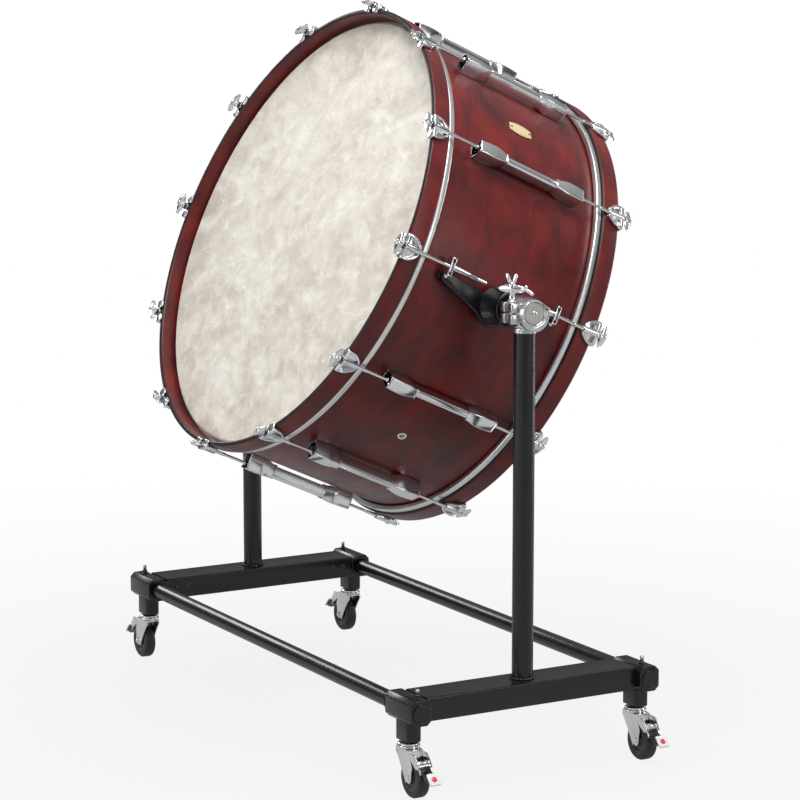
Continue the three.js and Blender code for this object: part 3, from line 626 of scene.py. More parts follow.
def spread_round(build, name, body, finish, place, skip_every=0, stands_for=()):
    """Repeats one build at every tension line and shows the result as one piece."""
    seed = placed_object(name + "_seed", build.mesh(name + "_seed", UPRIGHT))
    modifier = seed.modifiers.new("round", "NODES")
    modifier.node_group = SPREAD
    sockets = {item.name: item.identifier for item in SPREAD.interface.items_tree
               if item.in_out == "INPUT"}
    modifier[sockets["Count"]] = LINES
    modifier[sockets["Step"]] = LINE_STEP
    modifier[sockets["Skip every"]] = skip_every
    modifier[sockets["Finish"]] = MATERIALS[finish]
    mesh = with_modifiers(seed)
    mesh.name = name
    bpy.data.objects.remove(seed)
    mesh.transform(place)
    return show(mesh, name, body, [finish], stands_for)


# ---------------------------------------------------------------- drum

SHELL_WALL = 9.0
SHOULDER = 7.0
VENT_RADIUS = 7.0
VENT_ANGLE = -45
BADGE_ANGLE = 45
RING_SIDES = 240
FILM = 0.7
HOOP_ROUND = 4.6                # radius of a hoop's rounded edges
BLACK_EDGE = 2.4                # width of the black border on a hoop's edges


def shell():
    """The wooden wall with rounded edges, its vent hole and the eyelet in it."""
    inside = SHELL_RADIUS - SHELL_WALL
    edge = SHELL_RADIUS - SHOULDER
    near_vent = VENT_RADIUS + 3
    profile = ([(inside, -SHELL_END)] + arc(edge, -SHELL_END + SHOULDER, SHOULDER, -90, 0, 6)
               + [(SHELL_RADIUS, -near_vent), (SHELL_RADIUS, near_vent)]
               + arc(edge, SHELL_END - SHOULDER, SHOULDER, 0, 90, 6)
               + [(inside, SHELL_END), (inside, near_vent), (inside, -near_vent)])
    wall = Build().add(turned(profile, RING_SIDES, closed=True, uv_radius=SHELL_RADIUS))
    piece = wall.piece("shell_wood", "drum", ["stained_wood"], DRUM, ["shell"])
    drill = Build().add(turned([(0, inside - 5), (VENT_RADIUS, inside - 5),
                                (VENT_RADIUS, SHELL_RADIUS + 5), (0, SHELL_RADIUS + 5)], 32), TO_X)
    cutter = placed_object("drill", drill.mesh("drill", DRUM @ around(VENT_ANGLE)))
    cut = piece.modifiers.new("vent", "BOOLEAN")
    cut.object = cutter
    cut.solver = "EXACT"
    bored = with_modifiers(piece)
    piece.modifiers.clear()
    bored.set_sharp_from_angle(angle=SHARP_ANGLE)
    piece.data = bored
    bpy.data.objects.remove(cutter)
    eyelet = Build().add(turned(arc(VENT_RADIUS + 0.4, 0.3, 2.1, 0, 180, 8)
                                + [(VENT_RADIUS - 1.7, -9), (VENT_RADIUS - 0.6, -9)], 36, closed=True),
                         at(SHELL_RADIUS) @ TO_X)
    eyelet.add(pin(VENT_RADIUS - 1.8, -3.5, -1.2, 28, 0.8), at(SHELL_RADIUS) @ TO_X, finish=1)
    eyelet.piece("vent_eyelet", "drum", ["chrome", "felt"], DRUM @ around(VENT_ANGLE))


def heads():
    """On each end a film that turns down over the shell, and the metal hoop that holds it."""
    lip = SHELL_RADIUS - SHOULDER + 0.5
    film_outside = SHOULDER + 1.3
    for end, name in ENDS:
        film = Build().add(turned(
            [(0, FILM_FACE), (lip * 0.33, FILM_FACE), (lip * 0.66, FILM_FACE)]
            + arc(lip, FILM_FACE - film_outside, film_outside, 90, 0, 6)
            + [(lip + film_outside, FLESH_TOP - 2), (lip + film_outside - FILM, FLESH_TOP - 2)]
            + arc(lip, FILM_FACE - film_outside, film_outside - FILM, 0, 90, 6)
            + [(0, FILM_FACE - FILM)], RING_SIDES))
        film.piece(f"{name}_film", "drum", ["head_film"], drum_end(end), [f"{name}_head"])
        band = rounded_rectangle(SHELL_RADIUS + 1.2, FLESH_OUTSIDE, FLESH_BOTTOM, FLESH_TOP, 3.2, 5)
        ring = Build().add(turned(band, RING_SIDES, closed=True))
        ring.piece(f"{name}_flesh_hoop", "drum", ["ring_steel"], drum_end(end))


def hoops():
    """The two stained counterhoops, with black borders along both edges."""
    for end, name in ENDS:
        band = Build().add(turned(
            rounded_rectangle(HOOP_INSIDE, HOOP_OUTSIDE, HOOP_BOTTOM, HOOP_END, HOOP_ROUND, 5),
            RING_SIDES, closed=True, uv_radius=SHELL_RADIUS), finish=None)
        for face in band.bm.faces:
            y = face.calc_center_median().y
            face.material_index = int(not HOOP_BOTTOM + BLACK_EDGE <= y <= HOOP_END - BLACK_EDGE)
        band.piece(f"{name}_hoop_wood", "drum", ["stained_wood", "black_lacquer"],
                   drum_end(end), [f"{name}_hoop"])


CLAW_HALF = 25.0
CLAW_HEEL = 33.0
CLAW_TIP_HALF = 9.0


def claw():
    """An A-shaped casting on the hoop at +x, with two toes over the hoop's edge."""
    made = Build()
    floor = HOOP_OUTSIDE + 0.3
    heel = HOOP_END - CLAW_HEEL + 1
    shoulder = HOOP_END - 6
    side_line = [(CLAW_TIP_HALF + (CLAW_HALF - CLAW_TIP_HALF) * math.sin(math.pi / 2 * t) ** 0.9,
                  heel + (shoulder - heel) * t) for t in (i / 6 for i in range(7))]
    right_line = [(x - 2, y) for x, y in side_line] + [(CLAW_HALF - 2, CLAW_FACE - 1)]
    plate = right_line + [(-x, y) for x, y in reversed(right_line)]
    lay = at(floor) @ OUTWARD
    made.add(prism(plate, 1.8), lay, edge=0.5)
    for side in (-1, 1):
        rib = ([(side * x, y) for x, y in side_line] + [(side * CLAW_HALF, CLAW_FACE - 1),
               (side * (CLAW_HALF - 5), CLAW_FACE - 1)]
               + [(side * (x - 4.6), y + 1) for x, y in reversed(side_line)])
        made.add(prism(rib, 7.5), lay, edge=1.4, rounds=3)
        toe = rounded_rectangle(HOOP_INSIDE + 1.2, HOOP_OUTSIDE + 8, -9, 9, 5.4, 5)
        across = side * (CLAW_HALF - 8.5)
        made.add(prism(toe, CLAW_LIP - 0.2), at(0, HOOP_END + 0.1, across) @ TOE_FLAT,
                 edge=1.5, rounds=3)
    made.add(prism(rounded_rectangle(-CLAW_HALF + 3, CLAW_HALF - 3, HOOP_END - 3, CLAW_FACE - 0.6,
                                     1.5, 2), 9.5), lay, edge=1.2, rounds=3)
    barrel = turned([(4.6, heel + 1), (6.2, heel + 1), (6.8, heel + 3), (6.8, HOOP_END - 3),
                     (8.4, HOOP_END), (8.4, CLAW_FACE), (7.6, CLAW_FACE + 0.2),
                     (4.6, CLAW_FACE + 0.2)], 24, closed=True)
    made.add(barrel, at(ROD_CIRCLE))
    return made


def claws():
    for end, name in ENDS:
        spread_round(claw(), f"{name}_claws", "drum", "chrome", drum_end(end))


SLEEVE_RADIUS = 4.0
ROD_RADIUS = 3.2
HANDLE_SPAN = 46.0
HANDLE_CHORD = 17.0


def tension_rod(inner_end, long_one):
    """A rod on the y axis with its T handle at the outer end; +x is away from the drum."""
    made = Build()
    sleeve = FLESH_BOTTOM
    centre = HANDLE_END - HANDLE_CHORD / 2
    thread = inner_end + (70 if long_one else 32)
    made.add(threaded(ROD_RADIUS, inner_end, thread, 1.6, 0.35))
    made.add(pin(ROD_RADIUS - 0.15, thread - 0.5, sleeve + 1, 14, 0.2))
    made.add(threaded(SLEEVE_RADIUS, sleeve, CLAW_FACE - 22, 2.2, 0.3, 16))
    made.add(pin(SLEEVE_RADIUS - 0.1, CLAW_FACE - 24, CLAW_FACE + 0.4, 16))
    made.add(turned([(0, CLAW_FACE + 0.4), (6.6, CLAW_FACE + 0.4), (6.8, CLAW_FACE + 1.6),
                     (5.0, CLAW_FACE + 2.6), (3.9, CLAW_FACE + 3.2), (3.9, centre - 5),
                     (0, centre - 5)], 20), finish=1)
    made.add(turned([(0, centre - 8), (4.6, centre - 8), (5.6, centre - 6), (5.8, centre + 4),
                     (4.8, centre + 7.5), (2.4, centre + 8.6), (0, centre + 8.7)], 24))
    made.add(leaf(HANDLE_SPAN, HANDLE_CHORD, 6.2), at(0, centre, 0))
    rim = []
    for k in range(33):
        t = -0.97 + 1.94 * k / 32
        rim.append((0, centre + HANDLE_CHORD / 2 * (1 - t * t) ** 0.75 * 0.93, t * HANDLE_SPAN / 2))
    made.add(swept(rim, 1.1, 8))
    made.add(swept([(x, 2 * centre - y, z) for x, y, z in rim], 1.1, 8))
    return made


def rods():
    for end, name in ENDS:
        for line in range(LINES):
            long_one = line % (LINES // 2) == 0
            build = tension_rod(LONG_ROD_END if long_one else ROD_END, long_one)
            turn = around(line * LINE_STEP)
            number = f"{line + 1:02d}"
            build.piece(f"{name}_tension_rod_{number}", f"{name}_rod_{number}",
                        ["chrome", "dark_steel"], DRUM @ turn @ at(ROD_CIRCLE) @ turned_round(end),
                        [f"{name}_rod_{number}"])


LUG_CAP = 66.0


def lug_section(y, half, base, top, corner=3.4, steps=4):
    """An upside-down U across the lug: base and top are distances from the drum's axis."""
    corner = min(corner, half * 0.9, top - base - 1)
    bends = [math.pi / 2 * i / steps for i in range(steps + 1)]
    right = [(top - corner + corner * math.sin(t), y, half - corner + corner * math.cos(t))
             for t in bends]
    return [(base, y, half), *right, *[(x, y, -z) for x, y, z in reversed(right)], (base, y, -half)]


def lug():
    """A double-ended lug along y at +x: a raised bar between two leaf-shaped caps."""
    made = Build()
    waist = LUG_END - LUG_CAP
    low = SHELL_RADIUS + 0.4
    top = ROD_CIRCLE + 8
    bar = [lug_section(y, 7.8, low + 6, top, 6.4, 6) for y in (-waist - 8, -waist, 0, waist, waist + 8)]
    made.add(loft(bar), edge=0.7)
    groove = rounded_rectangle(-2.2, 2.2, -waist, waist, 2.0, 3)
    made.add(prism(groove, 0.7), at(top - 0.1) @ OUTWARD, edge=0.3)
    for end in (-1, 1):
        sections = []
        for i in range(15):
            t = i / 14
            bulge = math.sin(math.pi / 2 * min(1.0, t * 1.9)) - 0.35 * max(0.0, t - 0.5)
            half = 8.2 + 5.6 * bulge
            rise = top + 1.4 + 2.6 * math.sin(math.pi * t * 0.9)
            skirt = low + 7 - 7 * min(1.0, t * 3.2)
            sections.append(lug_section(waist + (LUG_CAP - 3) * t, half, skirt, rise, 2.2))
        cap = loft(sections)
        cap.faces.ensure_lookup_table()
        mouth = max(cap.faces, key=lambda face: face.calc_center_median().y)
        bmesh.ops.inset_region(cap, faces=[mouth], thickness=1.6)
        bmesh.ops.translate(cap, verts=mouth.verts, vec=(0, -26, 0))
        turn = turned_round(end)
        made.add(cap, turn, edge=0.5, sharp=50)
        made.add(pin(5.6, -8.4, 8.4, 20, 0.8), turn @ at(ROD_CIRCLE, LUG_END - 9) @ TO_Z)
        made.add(nut(9.5, LUG_END - 16, LUG_END + 2.5), turn @ at(ROD_CIRCLE))
        made.add(block(low + 3, top + 2.4, waist - 0.9, waist + 0.9, -10.4, 10.4), turn, edge=0.7)
        path = lug_section(LUG_END - 1.6, 12.2, low, top + 2.0, 3.0)
        made.add(swept(path, 1.2, 8), turn)
        made.add(block(low, low + 2.0, LUG_END - 3.0, LUG_END - 0.2, -12.6, 12.6), turn, edge=0.6)
    return made


def lugs():
    nodes = [f"lug_{line + 1:02d}" for line in range(LINES) if line % (LINES // 2)]
    spread_round(lug(), "lug_castings", "drum", "chrome", DRUM, LINES // 2, nodes)


BADGE_HALF_LENGTH = 27.0
BADGE_HALF_WIDTH = 14.6
BADGE_SCREW = 22.4              # from the badge's middle


def badge():
    """A blank lens-shaped plate with a raised line round it and two small screws."""
    points = []
    for side in (-1, 1):
        for i in range(13):
            t = -1 + 2 * i / 12
            width = BADGE_HALF_WIDTH - 5.6 * t * t
            points.append((side * t * BADGE_HALF_LENGTH, side * width))
    face = Build()
    lay = around(BADGE_ANGLE) @ at(SHELL_RADIUS + 0.3) @ Matrix.Rotation(math.pi / 2, 4, "Z") @ TO_Z
    face.add(prism(points, 1.5), lay, edge=0.4)
    inner = [(x * 0.72, y * 0.72) for x, y in points]
    rim = [(x, y, 1.55) for x, y in inner] + [(inner[0][0], inner[0][1], 1.55)]
    face.add(swept(rim, 0.45, 6), lay)
    for end in (-1, 1):
        face.add(turned([(0, 0), (2.5, 0), (2.5, 1.9), (1.4, 2.6), (0, 2.8)], 16),
                 lay @ at(end * BADGE_SCREW) @ TO_Z, finish=1)
    face.piece("badge_plate", "drum", ["gold", "dark_steel"], DRUM, ["badge"])


# ---------------------------------------------------------------- trunnions and clamps

PIVOT = Vector(JOINTS["drum_tilt"]["pos_m"])
PIVOT_DROP = (DRUM.inverted() @ PIVOT).z * -1
BRACKET_REACH = 134.0
PLATE_INSIDE = ROD_CIRCLE - SLEEVE_RADIUS - 11.6
PLATE_THICKNESS = 11.0
HUB_LENGTH = 74.0
NUT_POST_HEIGHT = 34.0
AXLE_RADIUS = 21.0


def bracket_frame(side):
    """The drum frame with its origin on the trunnion, mirrored for the left side."""
    return on_side(DRUM @ at(0, 0, -PIVOT_DROP), side)


def brackets():
    """On each side a boomerang arm with its hub, the axle and nut posts, and the end disc."""
    arm_top = PIVOT_DROP - NUT_POST_HEIGHT / 2 + 6
    arm_bottom = arm_top - 20
    lower = [(-BRACKET_REACH + 7, arm_bottom), (-36, -27)]
    belly = [(-36 + 72 * t, -27 - 4 * 15 * t * (1 - t)) for t in (i / 10 for i in range(1, 10))]
    upper = [(57, arm_top - 3)] + [(57 - 114 * t, arm_top - 3 - 4 * 9 * t * (1 - t))
                                   for t in (i / 10 for i in range(1, 10))] + [(-57, arm_top - 3)]
    outline = (lower + belly + [(36, -27), (BRACKET_REACH - 7, arm_bottom),
               (BRACKET_REACH, arm_bottom + 6), (BRACKET_REACH, arm_top)] + upper
               + [(-BRACKET_REACH, arm_top), (-BRACKET_REACH, arm_bottom + 6)])
    hub_end = PLATE_INSIDE + HUB_LENGTH
    axle_end = measure("trunnion_bracket_right", DRUM)[1].x
    for side, name in SIDES:
        made = Build()
        made.add(prism(outline, PLATE_THICKNESS), at(PLATE_INSIDE) @ ACROSS_X, edge=2.2, rounds=3)
        face = PLATE_INSIDE + PLATE_THICKNESS - 1
        flange = hub_end - 4
        made.add(turned([(0, face), (37, face), (35, face + 5), (30, face + 16), (26, face + 30),
                         (24.5, flange - 14), (25.5, flange - 10), (33.5, flange - 8.6),
                         (34.8, flange - 7.4), (34.8, flange - 1.4), (33.6, flange),
                         (25, flange + 0.4), (25, hub_end), (0, hub_end)], 64), TO_X)
        for end in (-1, 1):
            foot_y = end * LUG_END
            made.add(block(SHELL_RADIUS + 0.5, PLATE_INSIDE + 2, foot_y - 9, foot_y + 9,
                           arm_bottom + 5, arm_top - 1), edge=1)
        made.piece(f"trunnion_arm_{name}", "drum", ["black_steel"], bracket_frame(side),
                   [f"trunnion_bracket_{name}"])
        bright = Build()
        bright.add(pin(AXLE_RADIUS, hub_end - 1, axle_end - 4, 48), TO_X)
        for end in (-1, 1):
            turn = facing(end)
            centre = at(ROD_CIRCLE, 0, PIVOT_DROP)
            half_height = NUT_POST_HEIGHT / 2
            for wall in (-1, 1):
                wall_y = LUG_END + wall * 4.1
                bright.add(block(-8, 9, wall_y - 1.1, wall_y + 1.1, -half_height, half_height),
                           turn @ centre, edge=0.5)
            bright.add(block(-9, -5, LUG_END - 5, LUG_END + 5, -half_height, half_height),
                       turn @ centre, edge=0.6)
            for cap_z in (-half_height, half_height):
                bright.add(block(-8, 9, LUG_END - 5, LUG_END + 5, cap_z - 1.4, cap_z + 1.4),
                           turn @ centre, edge=0.5)
            bright.add(pin(5.2, -8.5, 8.5, 20, 0.6), turn @ centre @ at(0, LUG_END) @ TO_Z)
            ribbed = [(3.5, LUG_END - 64), (4.6, LUG_END - 64), (4.8, LUG_END - 44)]
            for rib in range(12):
                y = LUG_END - 43 + rib * 3.0
                swell = 5.2 + 1.8 * rib / 11
                ribbed += [(swell, y), (swell + 0.3, y + 1.2),
                           (swell - 1.1, y + 1.8), (swell - 1.1, y + 2.8)]
            ribbed += [(5.4, LUG_END - 6), (3.5, LUG_END - 6)]
            bright.add(turned(ribbed, 20, closed=True), turn @ centre)
            bright.add(nut(8, 0, 4.5), turn @ at(PLATE_INSIDE + PLATE_THICKNESS - 1, LUG_END,
                                                 arm_top - 8) @ TO_X)
        bright.piece(f"trunnion_axle_{name}", "drum", ["chrome"], bracket_frame(side))
        disc = Build()
        disc.add(turned([(0, axle_end - 4.5), (20.4, axle_end - 4.5), (20.9, axle_end - 4),
                         (20.9, axle_end - 1), (20.3, axle_end - 0.4), (0, axle_end - 0.4)], 64), TO_X)
        disc.add(turned([(0, 0), (4.9, 0), (4.9, 1.1), (3.6, 2.4), (1.4, 2.9), (0, 3.0)], 28),
                 at(axle_end - 0.6) @ TO_X, finish=1)
        for angle in (20, 110):
            disc.add(block(2.2, 3.3, -3.1, 3.1, -0.45, 0.45),
                     at(axle_end - 0.6) @ Matrix.Rotation(math.radians(angle), 4, "X"), finish=2)
        disc.piece(f"trunnion_end_{name}", "drum", ["satin_disc", "chrome", "dark_steel"],
                   bracket_frame(side))


CLAMP_START, CLAMP_END = -28.0, 35.0
CLAMP_BORE = 21.6
EAR_GAP = 1.4                   # half the slot between a clamp's two ears


JOINT_X = abs(JOINTS["tilt_bolt_right_turn"]["pos_m"][0])


def clamp_frame(side):
    """On the trunnion's axis over the post, x away from the drum on both sides."""
    return on_side(world_frame((side * JOINT_X, PIVOT.y, PIVOT.z)), side)


def clamps():
    """The two split clamps on the posts, each round its axle."""
    for side, name in SIDES:
        made = Build()
        made.add(turned([(CLAMP_BORE, CLAMP_START), (28, CLAMP_START), (29.6, CLAMP_START + 2),
                         (29.6, CLAMP_END - 18), (27.4, CLAMP_END - 12),
                         (26.6, CLAMP_END - 2), (25.2, CLAMP_END),
                         (22.4, CLAMP_END), (CLAMP_BORE, CLAMP_END - 1)], 72, closed=True), TO_X)
        lip = arc(2.5, -4.5, 30.5, 195, 372, 28) + arc(0, 0, 24.5, 372, 195, 28)
        boss = [(14, 20.5), (22, 17.5), (33.5, 8.5), (34, 4), (31, 1.5), (24, 1.5), (22, 6), (15, 16)]
        made.add(prism(lip, 15), at(CLAMP_END - 15) @ ACROSS_X, edge=1.8, rounds=3)
        made.add(prism(boss, 12), at(CLAMP_END - 12) @ ACROSS_X, edge=1.5, rounds=3)
        bolt_y = (JOINTS[f"tilt_bolt_{name}_turn"]["pos_m"][1] - PIVOT.y) / MM
        for low, high in ((-20, -EAR_GAP), (EAR_GAP, 20)):
            for x0, x1 in ((-21, -5.4), (5.4, 21)):
                made.add(block(x0, x1, bolt_y - 13, -20, low, high), edge=2.6, rounds=3)
            made.add(block(-20, 20, bolt_y + 5.4, -18, low + 0.4, high - 0.4), edge=2.0, rounds=3)
            made.add(block(-24, 24, -26, -12, low, high), edge=3.5, rounds=3)
        made.add(turned([(0, -37), (22.6, -37), (22.6, -30), (21.4, -28), (23.5, -20), (27, -8),
                         (27, -2), (0, -2)], 64), TO_Z)
        made.add(pipe(23.0, 20.6, -39, -32, 64, 0.8), TO_Z)
        made.add(pin(2.6, CLAMP_END - 2, CLAMP_END + 0.25, 20, 0.2), at(0, 27.0, 6.5) @ TO_X, finish=1)
        made.add(nut(13, -27.5, -20.2), at(0, bolt_y) @ TO_Z, finish=1)
        made.piece(f"clamp_casting_{name}", "stand", ["cast_zinc", "dark_steel"], clamp_frame(side))


WING_HEIGHT = 45.0              # of the wing's middle over the trunnion's axis


def tilt_bolts():
    """The bolts that close the clamps, each with a flat wing and a small wing screw on top."""
    for side, name in SIDES:
        made = Build()
        made.add(pin(4.0, -25.8, WING_HEIGHT, 20), TO_Z)
        made.add(turned([(0, 20.6), (8.5, 20.6), (8.8, 22), (6.4, 25), (5.4, 28), (5.4, 38),
                         (6.6, 41), (0, 41)], 28), TO_Z)
        made.add(leaf(62, 17, 8.5, 0.6), at(0, 0, WING_HEIGHT) @ ACROSS_X)
        made.add(turned([(0, 48), (7.2, 48), (7.2, 53), (5.6, 56), (4.4, 58), (0, 58)], 24), TO_Z)
        made.add(swept([(22, 0, 46), (30, 0, 45), (40, 0, 40), (45, 0, 36)], 3.6, 12), edge=0.8)
        made.add(turned([(0, -3.6)] + arc(0, 0, 3.6, -75, 75, 8) + [(0, 3.6)], 16), at(30, 0, 50) @ TO_Z)
        for ear in (-1, 1):
            outline = [(ear * 1.5, 54), (ear * 5, 52), (ear * 8.5, 58), (ear * 12.5, 69),
                       (ear * 11.5, 73.5), (ear * 8, 74.5), (ear * 5.5, 70), (ear * 2.5, 62)]
            made.add(prism(outline, 3.2), at(0, 1.6) @ TO_Z, edge=0.9)
        bolt = Vector(JOINTS[f"tilt_bolt_{name}_turn"]["pos_m"])
        made.piece(f"tilt_wing_{name}", f"tilt_bolt_{name}", ["chrome"],
                   world_frame(bolt) @ Matrix.Rotation(math.radians(30), 4, "Z"),
                   [f"tilt_bolt_{name}"])


# ---------------------------------------------------------------- stand

AXIS_HEIGHT = 166.0
BEAM_HALF_WIDTH, BEAM_HALF_HEIGHT = 41.0, 23.0
POST_RADIUS = 20.5
POST_TOP = 36.0                 # of the post below the trunnion's axis
BLOCK_Y = 256.0
BLOCK_DEPTH = 44.0


def stand_frame(side):
    """On the floor under the post, x away from the drum on both sides."""
    return on_side(world_frame((side * JOINT_X, PIVOT.y, 0)), side)


def beams():
    """Each side's beam and post, the weld between them, the cap below and four screws."""
    reach = BLOCK_Y - BLOCK_DEPTH / 2 - 0.3
    for side, name in SIDES:
        made = Build()
        section = rounded_rectangle(-BEAM_HALF_WIDTH, BEAM_HALF_WIDTH, -BEAM_HALF_HEIGHT,
                                    BEAM_HALF_HEIGHT, 3.2, 4)
        made.add(prism(section, 2 * reach), at(0, reach, AXIS_HEIGHT) @ TO_Z)
        top = AXIS_HEIGHT + BEAM_HALF_HEIGHT
        made.add(pin(POST_RADIUS, top - 2, PIVOT.z / MM - POST_TOP, 72, 0.5), TO_Z)
        made.piece(f"beam_and_post_{name}", "stand", ["black_steel"], stand_frame(side),
                   [f"side_frame_{name}"])
        weld = Build()
        bead = []
        for i in range(97):
            t = 2 * math.pi * i / 96
            radius = (POST_RADIUS + 1.4) * (1 + 0.05 * math.sin(t * 23))
            bead.append((radius * math.cos(t), radius * math.sin(t), top + 1.2))
        weld.add(swept(bead, 2.9, 10))
        weld.add(turned([(0, 0), (23, 0), (22, 2.5), (17, 4.6), (9, 5.8), (0, 6.2)], 48),
                 at(0, 0, AXIS_HEIGHT - BEAM_HALF_HEIGHT) @ Matrix.Rotation(-math.pi / 2, 4, "X"))
        for end in (-1, 1):
            for away in (24, 50):
                head = at(-BEAM_HALF_WIDTH, end * (reach - away), AXIS_HEIGHT + 4)
                weld.add(turned([(1.7, -1), (1.9, -2.2), (3.2, -2.6), (4.6, -2.2), (5.2, -1.2), (5.2, 0),
                                 (1.7, 0)], 24, closed=True), head @ TO_X, finish=1)
                weld.add(turned([(0, -1), (2.4, -1), (2.4, 0), (0, 0)], 6), head @ TO_X)
        weld.piece(f"post_weld_{name}", "stand", ["black_steel", "dark_steel"], stand_frame(side))


def chamfered(half_width, half_height, chamfer):
    w, h, c = half_width, half_height, chamfer
    return [(-w + c, -h), (w - c, -h), (w, -h + c), (w, h - c),
            (w - c, h), (-w + c, h), (-w, h - c), (-w, -h + c)]


CAST_INWARD, CAST_OUTWARD = 42.0, 58.0     # of a corner casting's ends from the post's axis
CAST_HALF_HEIGHT = 25.0
LEG_X = 9.0
LEG_BOTTOM = 105.0              # of a casting's leg, over the floor
LEG_TOP = 16.0                  # of the leg below the beam's axis
TUBE_RADIUS = 16.0


def corners():
    """The castings at the four corners, each clamped on its cross tube."""
    for end, end_name in STAND_ENDS:
        for side, side_name in SIDES:
            made = Build()
            y = end * BLOCK_Y
            casting = chamfered(BLOCK_DEPTH / 2, CAST_HALF_HEIGHT, 9)
            made.add(prism(casting, CAST_INWARD + CAST_OUTWARD),
                     at(-CAST_INWARD, y, AXIS_HEIGHT) @ ACROSS_X, edge=1.3, rounds=3, sharp=25)
            made.add(prism(chamfered(25, 15.5, 5), AXIS_HEIGHT - LEG_TOP - LEG_BOTTOM),
                     at(LEG_X, y, LEG_BOTTOM), edge=1.0, sharp=25)
            made.add(turned([(0, 0), (18.6, 0), (18.6, 2.4), (17.4, 3.0), (16.8, 2.6), (15.9, 2.6),
                             (15.4, 3.0), (0, 3.0)], 56), at(CAST_OUTWARD, y, AXIS_HEIGHT) @ TO_X)
            made.add(turned([(0, 0), (22, 0), (20, 1.2), (17, 1.6), (16.5, 5), (0, 5)], 48),
                     at(-CAST_INWARD - 4, y, AXIS_HEIGHT) @ TO_X)
            made.add(pipe(18.4, 15.8, -CAST_INWARD - 4, -CAST_INWARD + 2, 48, 1.0),
                     at(0, y, AXIS_HEIGHT) @ TO_X)
            made.piece(f"corner_casting_{end_name}_{side_name}", "stand", ["black_steel"],
                       stand_frame(side))
            screws = Build()
            top = AXIS_HEIGHT + CAST_HALF_HEIGHT
            spot = at(CAST_OUTWARD - 22, y - end * 4, top)
            plug = at(-CAST_INWARD + 18, y, top)
            screws.add(turned([(0, -1), (7.4, -1), (7.4, 0.6), (6.4, 1.2), (0, 1.2)], 24), spot @ TO_Z)
            screws.add(nut(10, 1.0, 6.2), spot @ TO_Z)
            screws.add(threaded(3.6, 5.5, 12.4, 1.2, 0.3, 16), spot @ TO_Z)
            screws.add(turned([(0, 12.2), (3.9, 12.2), (3.9, 16.2), (3.2, 16.8), (0, 16.8)], 20),
                       spot @ TO_Z, finish=1)
            screws.add(turned([(0, -0.5), (5.0, -0.5), (5.0, 0.5), (3.4, 0.7), (3.2, -0.4),
                               (0, -0.4)], 24), plug @ TO_Z)
            screws.add(pipe(4.6, 2.4, -1, 1.2, 20, 0.4), plug @ TO_Z)
            screws.piece(f"corner_screws_{end_name}_{side_name}", "stand", ["dark_steel", "cast_zinc"],
                         stand_frame(side))
        tube = Build()
        reach = JOINT_X / MM - CAST_INWARD + 3
        tube.add(pin(TUBE_RADIUS, -reach, reach, 56, 0.5), at(0, end * BLOCK_Y, AXIS_HEIGHT) @ TO_X)
        tube.piece(f"cross_tube_{end_name}", "stand", ["black_steel"],
                   world_frame((0, PIVOT.y, 0)), [f"cross_member_{end_name}"])


# ---------------------------------------------------------------- casters

WHEEL_RADIUS = 37.5
WHEEL_HALF = 12.0
TRAIL = 26.0
RACE_TOP = 104.7
FORK_INSIDE = 13.0
PEDAL_X, PEDAL_Z = TRAIL + 32.2, WHEEL_RADIUS + 30.8      # the brake pedal's pin


def caster_frame(corner):
    """On the floor under a caster's stem; its wheel trails towards +x."""
    place = Vector(JOINTS[f"caster_swivel_{corner}"]["pos_m"])
    wheel = Vector(JOINTS[f"wheel_spin_{corner}"]["pos_m"])
    turn = UPRIGHT if wheel.x > place.x else Matrix.Rotation(math.pi, 4, "Z")
    return world_frame((place.x, place.y, 0)) @ turn


